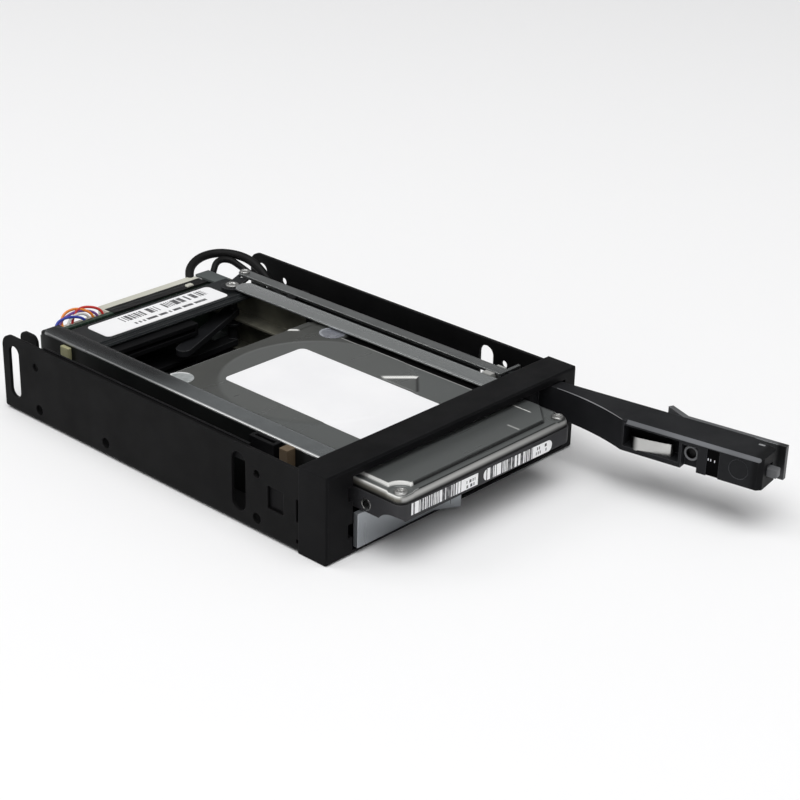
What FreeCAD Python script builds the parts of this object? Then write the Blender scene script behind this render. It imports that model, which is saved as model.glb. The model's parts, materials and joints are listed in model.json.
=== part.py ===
import FreeCAD, Part
import math
import os

# Sizes are millimetres from the front of the bezel and the underside. X runs right, Y back, Z up.
# Bay front and tray.
bay_width = 101.6
bay_height = 25.4
bezel_depth = 10.4
chassis_rear = 136.8
wall_drop = 1.2
sheet = 1.0
bend_r = 1.4
wall_corner_r = 4.0
bezel_chamfer = 0.5

# Side walls: screw holes, locating holes, upright slots, and the windows that hold the bezel's arms.
screw_hole_r = 1.6
screw_hole_z = 4.2
screw_hole_front = 26.2
screw_hole_steps = (0.0, 63.2, 94.0)
locating_r = 1.2
left_locating_z = 17.4
right_locating_z = 18.0
rear_locating_r = 1.3
rear_locating_z = 17.7
rear_locating_in = 15.8
rear_slot_in = 5.4
rear_slot_low = 4.7
rear_slot_high = 21.3
rear_slot_width = 4.8
front_slot_y = 33.2
left_slot_low = 4.0
right_slot_low = 4.5
front_slot_height = 17.5
front_slot_width = 5.5
window_behind_bezel = 5.6
window_length = 6.0
window_low = 8.9
window_high = 15.6
arm_sheet = 1.5
arm_length = 13.0
arm_low = 8.2
arm_high = 16.2
nub_gap = 0.3
nub_drop = 0.7
seam_notch = 0.9
seam_notch_spans = ((2.6, 3.9), (8.9, 15.6))

# Drive, which stands partly out of the upper bay.
drive_width = 69.85
drive_length = 100.35
drive_height = 9.5
drive_front = -14.0
cage_centre = -3.2
lift_gap = 0.1

# Guide rails: bent sheet with three shelves.
rail_sheet = 0.8
rail_gap = 0.375
shelf_width = 6.6
shelf_sheet = 0.75
floor_shelf = 0.5
lower_headroom = 0.2
upper_headroom = 0.25
rail_edge_r = 0.7

# Doors: both turn on one pin, and the upper one stands open.
pin_r = 1.0
running_gap = 0.05
open_deg = 98.5
hinge_y = 7.0
hinge_out = 5.2
pin_floor = 0.4
pin_roof = 1.0
heel_r = 8.0
heel_inner = -2.1
barrel_r = 3.4
door_outer = 5.95
door_inner = 5.9
door_gap = 0.4
door_seam = 0.3
door_end_gap = 2.6
slot_margin = 2.8
slot_clear = 0.5
slot_roof_gap = 0.4
slot_floor_gap = 0.2
panel_skirt = 1.2
skirt_start = 9.0
skirt_face = -4.6
neck_start = 2.0
neck_inner = -1.6
end_chamfer = 1.2
bevel = 1.0
bevel_margin = 0.4
pocket_wall = 1.4
pin_wall = 0.4
hub_wall = 1.6

# Places along the door, measured back from its free end.
pad_from_end = 42.0
spring_from_end = 41.4
spring_pocket_length = 17.0
spring_pocket_depth = 5.1
boss_from_end = 23.6
boss_pocket_length = 4.8
boss_pocket_depth = 2.7
boss_r = 1.9
boss_bore_r = 1.0
boss_height = 1.3
boss_room = 0.7
lens_roof = 1.2
lens_from_end = 16.0
lens_length = 3.6
lens_depth = 0.9
lens_recess = 0.15
mark_from_end = 6.7
mark_r = 2.8
mark_depth = 0.15

# Leaf spring in the door's inner face.
leaf_sheet = 0.35
leaf_width = 4.0
leaf_bend_r = 1.1
leaf_crown = 0.15
leaf_flat = 3.4
leaf_ramp_end = 14.4
leaf_tip = 16.2
leaf_tip_drop = 1.4

# Handle and the bolt that it draws.
handle_from_end = 36.0
handle_past_end = 1.4
handle_sheet = 1.6
handle_stand = 0.2
handle_gap = 0.4
handle_edge_gap = 0.2
flare_length = 7.0
flare_out = 3.9
flare_bend_r = 2.5
handle_pin_from_end = 8.0
handle_pin_h = -4.2
handle_pin_r = 0.7
handle_hub_r = 1.4
stem_half = 1.1
finger_half = 0.6
finger_reach = 1.6
finger_half_height = 0.8
finger_half_room = 1.1
finger_swing = 2.2
finger_clear = 0.8
finger_overlap = 0.2
bolt_tail = 1.6
bolt_nose = 0.6
bolt_past_end = 3.6
bolt_front = -0.8
bolt_back = 2.4
bolt_half_height = 1.6
bolt_gap = 0.15
bolt_slope = 1.4
bolt_travel = 1.5
groove_extra = 0.7
groove_half_height = 2.0

# Ejectors: a rod beside the right rail and a lever behind each drive.
lever_in = 4.3
rod_out = 4.9
lever_from_board = 11.2
hub_clear = 0.8
arm_clear = 0.4
lower_arm_drop = 2.1
arm_thick = 0.8
arm_half = 2.2
arm_past_pin = 2.6
slot_before_pin = 2.4
slot_past_pin = 1.5
rod_thick = 0.9
rod_pin_r = 1.0
shaft_r = 1.6
hub_r = 3.4
blade_half = 2.4
blade_clear = 0.5
slot_gap = 0.35
guide_gap = 0.15
guide_length = 3.2
guide_wall = 1.0
guide_lip = 0.2
front_guide_y = 17.2
rear_guide_from_lever = 22.8
toe_width = 9.2
toe_drop = 6.0
toe_sheet = 1.0
toe_gap = 0.3
lever_turn_deg = 20.0
lever_rest_deg = 23.3
blade_past_middle = 1.075
upper_blade_lift = 0.55
lower_blade_lift = 0.7
pivot_root = 0.5
pivot_lift = 0.2
pivot_part = 0.075
rod_width = 4.0
rod_screw_r = 1.7
lever_screw_r = 2.1
screw_head = 0.7

# Backplane, crossbar and what is fixed to them.
board_in = 3.8
board_thick = 1.6
board_lift = 0.8
strip_in = 4.8
strip_past = 4.4
crossbar_drop = 1.3
crossbar_thick = 1.5
crossbar_from_board = 3.5
crossbar_depth = 15.5
lip_width = 1.8
lip_drop = 0.5
label_sheet = 0.15
label_left_in = 12.1
label_lever_gap = 5.2
label_rear_in = 1.5
label_depth = 10.6
label_corner_r = 1.6
connector_length = 39.7
connector_in = 4.6
connector_depth = 6.2
connector_drop = 0.2
connector_height = 4.6
connector_corner_r = 1.2
header_length = 18.4
header_depth = 5.0
header_drop = 1.8
header_gap = 0.2

# Blocks, clip, tab and edge liner in the channel beside the left rail.
block_width = 4.4
block_length = 4.8
block_rear_in = 14.6
block_lift = 1.05
block_drop = 0.4
tan_front = 23.4
tan_width = 3.0
tan_length = 3.0
tan_height = 8.2
clip_front = 28.4
clip_length = 9.5
clip_width = 3.2
clip_height = 6.0
clip_wall = 1.0
clip_groove = 1.6
tab_out = 5.2
tab_length = 7.8
tab_rear_in = 0.4
tab_drop = 1.0
tab_corner_r = 2.4
liner_sheet = 0.6
liner_front = 30.0
liner_rear_in = 18.8
liner_height = 5.8
liner_stand = 0.5

# Serial connector between the drive and its socket.
sata_from_left = 23.125
sata_drop = 2.2
sata_height = 4.0
nose_half = 18.4
nose_depth = 3.0
nose_gap = 0.8
body_half = 20.4
body_lip = 0.2
tongue_half = 17.2
tongue_low = 1.6
tongue_sheet = 0.8
tongue_gap = 0.2
sata_depth = 4.0

# Drive: casting, board, stamped cover with a round bulge over the discs, screws and labels.
casting_drop = 3.7
casting_corner_r = 2.6
lip_step = 1.1
lip_depth = 3.0
relief_r = 4.0
relief_in = 2.5
relief_drop = 1.6
relief_reach = 7.0
side_hole_r = 1.5
side_hole_z = 2.2
side_hole_front = 12.4
side_hole_step = 73.95
side_hole_depth = 3.5
board_side_in = 6.925
board_front_in = 22.0
board_rear_in = 6.0
board_recess = 1.6
drive_board_sheet = 1.2
board_edge_gap = 0.2
rim_drop = 1.5
rim_inset = 0.3
lid_drop = 0.3
lid_side_in = 2.6
lid_front_in = 4.15
lid_rear_in = 2.0
lid_corner_r = 1.6
lid_screw_in = 3.0
lid_screw_r = 1.9
lid_screw_head = 0.9
lid_notch_r = 5.15
bulge_side_in = 7.425
bulge_drop = 0.15
crest_drop = 0.05
crest_right_in = 12.0
crest_rear_in = 53.1
crest_slope = 0.9
crest_gap = 0.2
left_foil_in = 7.6
left_foil_rear = 6.4
right_foil_in = 7.2
right_foil_rear = 13.2
foil_r = 4.1
foil_sheet = 0.08
top_label_left = 16.2
top_label_right = 21.85
top_label_front = 25.0
top_label_rear = 15.25
top_label_r = 2.0
front_label_left = 3.9
front_label_right = 8.8
front_label_half_gap = 1.2
front_label_shift = -3.9
front_label_sheet = 0.1
front_label_low = 1.75
front_label_high = 0.65
front_label_flat = 0.2
front_label_tilt = 1.1

# Wires and the cable at the right wall.
wire_r = 0.38
wire_sides = 6
wire_step = 0.8
wire_rise = 2.9
wire_rise_step = 0.3
wire_right_in = 5.2
wire_right_step = 1.1
wire_left_in = 12.2
wire_left_step = 1.2
wire_arch = (
    (0.0, 0.0, 0.0),
    (0.0, 0.0, 0.62),
    (0.22, 0.3, 1.0),
    (0.5, 0.5, 1.06),
    (0.78, 0.3, 0.97),
    (1.0, 0.0, 0.6),
    (1.0, 0.0, 0.0),
)
cable_r = 1.6
cable_sides = 8

half_width = bay_width / 2.0
wall_in = half_width - sheet
wall_height = bay_height - wall_drop
window_front = bezel_depth + window_behind_bezel
window_rear = window_front + window_length
origin_y = chassis_rear / 2.0
drive_left = cage_centre - drive_width / 2.0
drive_right = cage_centre + drive_width / 2.0
drive_rear = drive_front + drive_length
web_left = drive_left - rail_gap
web_right = drive_right + rail_gap
lower_shelf_top = sheet + floor_shelf
middle_shelf_bottom = lower_shelf_top + drive_height + lower_headroom
middle_shelf_top = middle_shelf_bottom + shelf_sheet
top_shelf_bottom = middle_shelf_top + drive_height + upper_headroom
top_shelf_top = top_shelf_bottom + rail_sheet
upper_drive_bottom = middle_shelf_top + lift_gap
lower_drive_bottom = lower_shelf_top + lift_gap
hinge_x = web_right + hinge_out
slot_left = web_left - slot_margin
slot_right = hinge_x + heel_r + slot_clear
slot_bottom = sheet + slot_floor_gap
slot_top = top_shelf_top + slot_roof_gap
panel_height = (slot_top - slot_bottom - 3.0 * door_seam) / 2.0
lower_door_bottom = slot_bottom + door_seam
upper_door_bottom = lower_door_bottom + panel_height + door_seam
door_length = hinge_x - slot_left - door_end_gap
handle_pin_s = door_length - handle_pin_from_end
bolt_end = door_length + bolt_past_end
board_y = chassis_rear - board_in
board_back = board_y + board_thick
rail_front = hinge_y + door_inner + door_gap
drive_home_rear = drive_rear + rail_front - drive_front
crossbar_top = top_shelf_top - crossbar_drop
crossbar_bottom = crossbar_top - crossbar_thick
board_top = crossbar_top - rail_sheet
connector_top = board_top - connector_drop
connector_bottom = connector_top - connector_height
header_top = connector_top - header_drop
crossbar_rear = board_y - crossbar_from_board
crossbar_front = crossbar_rear - crossbar_depth
lever_x = web_right - lever_in
lever_y = board_y - lever_from_board
lever_reach = drive_width / 2.0 + blade_past_middle
rod_pin_x = web_right + rod_out
rod_left = rod_pin_x - rod_width / 2.0
rod_right = rod_pin_x + rod_width / 2.0
rod_front = hinge_y + heel_r + toe_gap
rod_arm = (rod_pin_x - lever_x) / math.cos(math.radians(lever_rest_deg))
rod_pin_y = lever_y + rod_arm * math.sin(math.radians(lever_rest_deg))
rod_home_y = lever_y + (rod_pin_x - lever_x) * math.tan(math.radians(lever_rest_deg - lever_turn_deg))
rod_travel = rod_pin_y - rod_home_y
upper_arm_bottom = crossbar_top + running_gap
lower_arm_bottom = middle_shelf_bottom - lower_arm_drop
upper_rod_bottom = upper_arm_bottom + arm_thick + running_gap
lower_rod_bottom = lower_arm_bottom + arm_thick + running_gap
sata_x = drive_left + sata_from_left
sata_top = drive_height - sata_drop
sata_bottom = sata_top - sata_height
blade_thick = lift_gap + sata_bottom - body_lip - blade_clear - lower_blade_lift
past = 1.0

up = FreeCAD.Vector(0, 0, 1)
along_x = FreeCAD.Vector(1, 0, 0)
along_y = FreeCAD.Vector(0, 1, 0)

os.makedirs("parts", exist_ok=True)


def vec(x, y, z):
    return FreeCAD.Vector(x, y, z)


def save(name, shape):
    # The saved origin lies under the middle of the rack.
    placed = shape.copy()
    placed.translate(vec(0, -origin_y, 0))
    placed.exportStep("parts/" + name + ".step")


def box(x0, x1, y0, y1, z0, z1):
    return Part.makeBox(x1 - x0, y1 - y0, z1 - z0, vec(x0, y0, z0))


def post(x, y, z0, z1, r):
    return Part.makeCylinder(r, z1 - z0, vec(x, y, z0), up)


def cross_hole(x0, x1, y, z, r):
    return Part.makeCylinder(r, x1 - x0, vec(x0, y, z), along_x)


def centred(x, half, y0, y1, z0, z1):
    return box(x - half, x + half, y0, y1, z0, z1)


def face_of(points):
    return Part.Face(Part.makePolygon(points + [points[0]]))


def edges_at(shape, fits):
    # The straight edges of a shape whose bounding box passes a test.
    return [edge for edge in shape.Edges if fits(edge.BoundBox)]


def rounded_plate(x0, x1, y0, y1, z0, z1, r):
    plate = box(x0, x1, y0, y1, z0, z1)
    return plate.makeFillet(r, edges_at(plate, lambda b: b.ZLength > 0.9 * (z1 - z0)))


def wall_slot(x0, x1, y, z0, z1, width):
    # A slot with round ends that stands upright in a side wall.
    r = width / 2.0
    middle = box(x0, x1, y - r, y + r, z0 + r, z1 - r)
    lower = cross_hole(x0, x1, y, z0 + r, r)
    upper = cross_hole(x0, x1, y, z1 - r, r)
    return middle.fuse([lower, upper]).removeSplitter()


def bent_path(points, reach):
    # Straight runs joined by tangent arcs; reach gives how far each arc eats into its runs.
    edges = []
    radii = []
    start = points[0]
    for i in range(1, len(points) - 1):
        back = points[i - 1] - points[i]
        ahead = points[i + 1] - points[i]
        runs = min(back.Length, ahead.Length)
        back.normalize()
        ahead.normalize()
        half = back.getAngle(ahead) / 2.0
        cut = reach(runs, half)
        bend = cut * math.tan(half)
        middle = (back + ahead).normalize()
        a = points[i] + back * cut
        b = points[i] + ahead * cut
        crown = points[i] + middle * (cut / math.cos(half) - bend)
        edges.append(Part.makeLine(start, a))
        edges.append(Part.Arc(a, crown, b).toShape())
        radii.append(round(bend, 1))
        start = b
    edges.append(Part.makeLine(start, points[-1]))
    return Part.Wire(edges), radii


def bent_sheet(points, thick, r, across):
    # Sheet folded along a path with bends of radius r; a negative thickness grows on the other side.
    path = bent_path(points, lambda runs, half: r / math.tan(half))[0]
    return path.makeOffset2D(thick, 0, True, True).extrude(across)


def cord(name, route, r, sides):
    # A plain many-sided cord whose arcs are as large as its runs allow.
    points = [vec(*p) for p in route]
    path, radii = bent_path(points, lambda runs, half: 0.45 * runs)
    print(name, "bend radii", radii)
    ahead = (points[1] - points[0]).normalize()
    aside = ahead.cross(along_x).normalize()
    across = ahead.cross(aside)
    turns = [2.0 * math.pi * k / sides for k in range(sides)]
    ring = [points[0] + aside * (r * math.cos(t)) + across * (r * math.sin(t)) for t in turns]
    section = Part.makePolygon(ring + [ring[0]])
    save(name, path.makePipeShell([section], True, False))


def on_door(s, h, z=0.0):
    # Point at s along the shut door from the pin and h behind the pin line.
    return vec(hinge_x - s, hinge_y + h, z)


def door_box(s0, s1, h0, h1, z0, z1):
    return box(hinge_x - s1, hinge_x - s0, hinge_y + h0, hinge_y + h1, z0, z1)


def door_bar(s0, s1, h0, h1, middle, half):
    return door_box(s0, s1, h0, h1, middle - half, middle + half)


def door_button(s, h, z, r, depth):
    # A round solid that points from h straight through the door's inner face.
    return Part.makeCylinder(r, depth, on_door(s, h, z), along_y)


def swung(shape, is_open):
    # The upper door's pieces are made shut and turned to where the door stands.
    turned = shape.copy()
    if is_open:
        turned.rotate(vec(hinge_x, hinge_y, 0), up, open_deg)
    return turned


def make_chassis():
    # One sheet folded into a floor and two walls.
    fold = [
        vec(-half_width, bezel_depth, wall_height),
        vec(-half_width, bezel_depth, 0),
        vec(half_width, bezel_depth, 0),
        vec(half_width, bezel_depth, wall_height),
    ]
    tray = bent_sheet(fold, sheet, bend_r, vec(0, chassis_rear - bezel_depth, 0))
    corners = edges_at(tray, lambda b: b.YMin > chassis_rear - 0.01 and b.ZMin > wall_height - 0.01)
    tray = tray.makeFillet(wall_corner_r, corners)
    rear_slot_y = chassis_rear - rear_slot_in
    cuts = []
    for inner, outer, slot_low, locating_z in (
        (-wall_in + past, -half_width - past, left_slot_low, left_locating_z),
        (wall_in - past, half_width + past, right_slot_low, right_locating_z),
    ):
        x0 = min(inner, outer)
        x1 = max(inner, outer)
        for step in screw_hole_steps:
            cuts.append(cross_hole(x0, x1, screw_hole_front + step, screw_hole_z, screw_hole_r))
        cuts.append(cross_hole(x0, x1, screw_hole_front, locating_z, locating_r))
        cuts.append(cross_hole(x0, x1, chassis_rear - rear_locating_in, rear_locating_z, rear_locating_r))
        cuts.append(box(x0, x1, window_front, window_rear, window_low, window_high))
        for low, high in seam_notch_spans:
            cuts.append(box(x0, x1, bezel_depth - past, bezel_depth + seam_notch, low, high))
        slot_high = slot_low + front_slot_height
        cuts.append(wall_slot(x0, x1, rear_slot_y, rear_slot_low, rear_slot_high, rear_slot_width))
        cuts.append(wall_slot(x0, x1, front_slot_y, slot_low, slot_high, front_slot_width))
    cuts.append(post(lever_x, lever_y, -past, sheet + past, pin_r + running_gap))
    save("chassis_tray", tray.cut(cuts))


def make_bezel():
    frame = box(-half_width, half_width, 0, bezel_depth, 0, bay_height)
    frame = frame.makeChamfer(bezel_chamfer, edges_at(frame, lambda b: b.YMax < 0.01))
    cuts = [box(slot_left, slot_right, -past, bezel_depth + past, slot_bottom, slot_top)]
    groove_left = hinge_x - bolt_end - groove_extra
    for door_bottom in (lower_door_bottom, upper_door_bottom):
        middle = door_bottom + (panel_height + panel_skirt) / 2.0
        low = middle - groove_half_height
        high = middle + groove_half_height
        cuts.append(box(groove_left, slot_left + past, -past, bezel_depth + past, low, high))
    pin = post(hinge_x, hinge_y, pin_floor, bay_height - pin_roof, pin_r)
    frame = frame.cut(cuts + [pin])
    arm_rear = bezel_depth + arm_length
    arms = []
    for side in (-1, 1):
        x_out = side * (wall_in - running_gap)
        x_in = x_out - side * arm_sheet
        x_nub = side * (half_width - nub_drop)
        arms.append(box(min(x_in, x_out), max(x_in, x_out), bezel_depth - past, arm_rear, arm_low, arm_high))
        nub_low = window_low + nub_gap
        nub_high = window_high - nub_gap
        nub_front = window_front + nub_gap
        nub_rear = window_rear - nub_gap
        arms.append(box(min(x_in, x_nub), max(x_in, x_nub), nub_front, nub_rear, nub_low, nub_high))
    save("bezel", frame.fuse(arms).removeSplitter())
    save("hinge_pin", pin)


def rail_section(web, side):
    # The rail's profile: an upright web with a floor shelf, a middle shelf and a top shelf.
    outer = web - side * rail_sheet
    tip = outer + side * shelf_width
    steps = [
        (outer, sheet),
        (tip, sheet),
        (tip, lower_shelf_top),
        (web, lower_shelf_top),
        (web, middle_shelf_bottom),
        (tip, middle_shelf_bottom),
        (tip, middle_shelf_top),
        (web, middle_shelf_top),
        (web, top_shelf_bottom),
        (tip, top_shelf_bottom),
        (tip, top_shelf_top),
        (outer, top_shelf_top),
    ]
    return face_of([vec(x, rail_front, z) for x, z in steps])


def make_rails():
    for name, web, side in (("left_rail", web_left, 1), ("right_rail", web_right, -1)):
        outer = web - side * rail_sheet
        rail = rail_section(web, side).extrude(vec(0, board_y - rail_front, 0))
        on_top = edges_at(rail, lambda b: b.ZMin > top_shelf_top - 0.01 and b.XLength < 0.01)
        top_edge = [edge for edge in on_top if abs(edge.BoundBox.XMin - outer) < 0.01]
        rail = rail.makeFillet(rail_edge_r, top_edge)
        if side < 0:
            rail = fit_lever(rail)
        save(name, rail)


def fit_lever(rail):
    # The right rail is cut away for both levers and carries a strip back over the board.
    hub_front = lever_y - hub_r - hub_clear
    tip = web_right + rail_sheet - shelf_width
    outer = web_right + rail_sheet
    over_bar = box(tip - past, outer + past, hub_front, board_y + past, crossbar_top, bay_height)
    arm_room = box(
        web_right - past,
        outer + past,
        hub_front,
        board_y - past,
        lower_arm_bottom - arm_clear,
        lower_arm_bottom + arm_thick + arm_clear,
    )
    bore = post(lever_x, lever_y, 0, middle_shelf_top + past, pin_r + running_gap)
    strip_low = crossbar_top - rail_sheet
    strip = box(web_right - strip_in, outer, crossbar_rear, board_back + strip_past, strip_low, crossbar_top)
    return rail.cut([over_bar, arm_room, bore]).fuse(strip).removeSplitter()


def make_crossbar():
    # A plate with a lowered front lip, its end view drawn out across the cage.
    step = crossbar_front + lip_width
    lip_top = crossbar_top - lip_drop
    end_view = [
        vec(web_left, crossbar_front, crossbar_bottom),
        vec(web_left, crossbar_front, lip_top - lip_drop),
        vec(web_left, crossbar_front + lip_drop, lip_top),
        vec(web_left, step, lip_top),
        vec(web_left, step + lip_drop, crossbar_top),
        vec(web_left, crossbar_rear, crossbar_top),
        vec(web_left, crossbar_rear, crossbar_bottom),
    ]
    bar = face_of(end_view).extrude(vec(web_right - web_left, 0, 0))
    bore = post(lever_x, lever_y, crossbar_bottom - past, crossbar_top + past, shaft_r + running_gap)
    save("crossbar", bar.cut(bore))
    label = rounded_plate(
        web_left + label_left_in,
        lever_x - label_lever_gap,
        crossbar_rear - label_rear_in - label_depth,
        crossbar_rear - label_rear_in,
        crossbar_top,
        crossbar_top + label_sheet,
        label_corner_r,
    )
    save("crossbar_label", label)


def make_backplane():
    save("backplane", box(web_left, web_right, board_y, board_back, sheet + board_lift, board_top))
    nose_y = drive_home_rear - nose_depth
    body_y = drive_home_rear + sata_depth
    for name, bottom in (("upper_socket", upper_drive_bottom), ("lower_socket", lower_drive_bottom)):
        z0 = bottom + sata_bottom
        z1 = bottom + sata_top
        body = centred(sata_x, body_half, body_y, board_y, z0 - body_lip, z1 + body_lip)
        nose = centred(sata_x, nose_half, nose_y, body_y + past, z0, z1)
        key_low = z0 + tongue_low - tongue_gap
        key_high = z0 + tongue_low + tongue_sheet + tongue_gap
        key_half = tongue_half + tongue_gap
        key = centred(sata_x, key_half, nose_y - past, nose_y + sata_depth, key_low, key_high)
        save(name, body.fuse(nose).removeSplitter().cut(key))
    right = web_right - connector_in
    left = right - connector_length
    shell = rounded_plate(
        left,
        right,
        board_back,
        board_back + connector_depth,
        connector_bottom,
        connector_top,
        connector_corner_r,
    )
    save("rear_connector", shell)
    header_right = left - header_gap
    header_left = header_right - header_length
    header_back = board_back + header_depth
    header = box(header_left, header_right, board_back, header_back, connector_bottom, header_top)
    save("wire_header", header)
    make_wires(header_right)


def make_wires(header_right):
    # Five wires arch out of the header and back into it, each over the one before.
    for i, colour in enumerate(("red", "orange", "white", "purple", "blue")):
        y = board_back + wire_step * (i + 1)
        right = header_right - wire_right_in + wire_right_step * i
        left = header_right - wire_left_in - wire_left_step * i
        rise = wire_rise + wire_rise_step * i
        span = right - left
        route = [(right - part * span, y + back, header_top + lift * rise) for part, back, lift in wire_arch]
        cord("wire_" + colour, route, wire_r, wire_sides)


def make_cable():
    # The cable leaves the rear connector, loops behind the rail and runs forward inside the right wall.
    route = [
        (24.2, 138.2, 17.4),
        (25.0, 143.0, 20.2),
        (28.8, 146.4, 22.6),
        (34.2, 147.8, 23.9),
        (40.4, 146.4, 24.2),
        (44.6, 141.2, 24.0),
        (46.2, 134.2, 22.8),
        (46.4, 127.2, 19.4),
        (46.5, 120.6, 13.8),
        (46.3, 108.0, 9.4),
        (46.5, 80.0, 8.6),
        (46.3, 40.0, 8.9),
        (46.4, bezel_depth + running_gap, 8.7),
    ]
    cord("cable_loop", route, cable_r, cable_sides)


def make_fittings():
    rail_right = web_right + rail_sheet
    rail_left = web_left - rail_sheet
    x0 = rod_left - guide_gap
    x1 = rod_right + guide_gap
    rod_room_low = lower_rod_bottom - guide_gap
    rod_room_high = lower_rod_bottom + rod_thick + guide_gap
    block_top = upper_rod_bottom + rod_thick - guide_lip
    rear_guide_y = lever_y - rear_guide_from_lever
    for name, y in (("rod_guide_front", front_guide_y), ("rod_guide_rear", rear_guide_y)):
        block = box(rail_right, x1 + guide_wall, y, y + guide_length, sheet, block_top)
        open_top = box(x0, x1, y - past, y + guide_length + past, upper_rod_bottom - guide_gap, bay_height)
        window = box(x0, x1, y - past, y + guide_length + past, rod_room_low, rod_room_high)
        save(name, block.cut([open_top, window]))
    make_left_fittings(rail_left)


def make_left_fittings(rail_left):
    # Blocks, a clip, a bent tab and a strip in the channel between the left rail and the wall.
    block_y = chassis_rear - block_rear_in
    block_low = middle_shelf_top + block_lift
    block_high = top_shelf_top - block_drop
    block = box(rail_left - block_width, rail_left, block_y - block_length, block_y, block_low, block_high)
    save("spacer_rear", block)
    tan_rear = tan_front + tan_length
    tan_high = top_shelf_top - block_drop
    tan_block = box(rail_left - tan_width, rail_left, tan_front, tan_rear, tan_high - tan_height, tan_high)
    save("spacer_front", tan_block)
    clip_left = rail_left - clip_width
    clip_rear = clip_front + clip_length
    clip = box(clip_left, rail_left, clip_front, clip_rear, tan_high - clip_height, tan_high)
    groove = box(
        clip_left + clip_wall,
        rail_left - clip_wall,
        clip_front + clip_wall,
        clip_rear - clip_wall,
        tan_high - clip_groove,
        tan_high + past,
    )
    save("left_clip", clip.cut(groove))
    tab_x = rail_left - tab_out
    tab_top = wall_height - tab_drop
    tab_rear = chassis_rear - tab_rear_in
    tab = box(tab_x, tab_x + sheet, tab_rear - tab_length, tab_rear, sheet, tab_top)
    corners = edges_at(tab, lambda b: b.ZMin > tab_top - 0.01 and b.YLength < 0.01)
    save("rear_tab", tab.makeFillet(tab_corner_r, corners))
    liner_rear = chassis_rear - liner_rear_in
    liner_top = wall_height + liner_stand
    liner_low = liner_top - liner_height
    liner = box(-wall_in, liner_sheet - wall_in, liner_front, liner_rear, liner_low, liner_top)
    save("left_liner", liner)


def door_body(bottom, top):
    # Plan outline: a straight outer face under the handle, a pad and a hollow curved neck.
    pad_s = door_length - pad_from_end
    corners = [
        (neck_start, neck_inner),
        (0.0, neck_inner),
        (0.0, -door_outer),
        (handle_pin_s, -door_outer),
        (door_length, handle_pin_h + end_chamfer),
        (door_length, door_inner - end_chamfer),
        (door_length - end_chamfer, door_inner),
        (pad_s, door_inner),
    ]
    points = [on_door(s, h, bottom) for s, h in corners]
    run = pad_s - neck_start
    rise = door_inner - neck_inner
    neck_r = (run * run + rise * rise) / (2.0 * rise)
    half_turn = math.asin(run / neck_r) / 2.0
    middle_s = neck_start + neck_r * math.sin(half_turn)
    middle_h = neck_inner + neck_r * (1.0 - math.cos(half_turn))
    neck = Part.Arc(points[-1], on_door(middle_s, middle_h, bottom), points[0]).toShape()
    outline = Part.Wire(Part.makePolygon(points).Edges + [neck])
    body = Part.Face(outline).extrude(vec(0, 0, top - bottom))
    heel = post(hinge_x, hinge_y, bottom, top, heel_r)
    heel = heel.common(door_box(-heel_r - past, 0.0, -door_outer, heel_inner, bottom, top))
    barrel = post(hinge_x, hinge_y, bottom, top, barrel_r)
    return body.fuse([heel, barrel]).removeSplitter()


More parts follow.
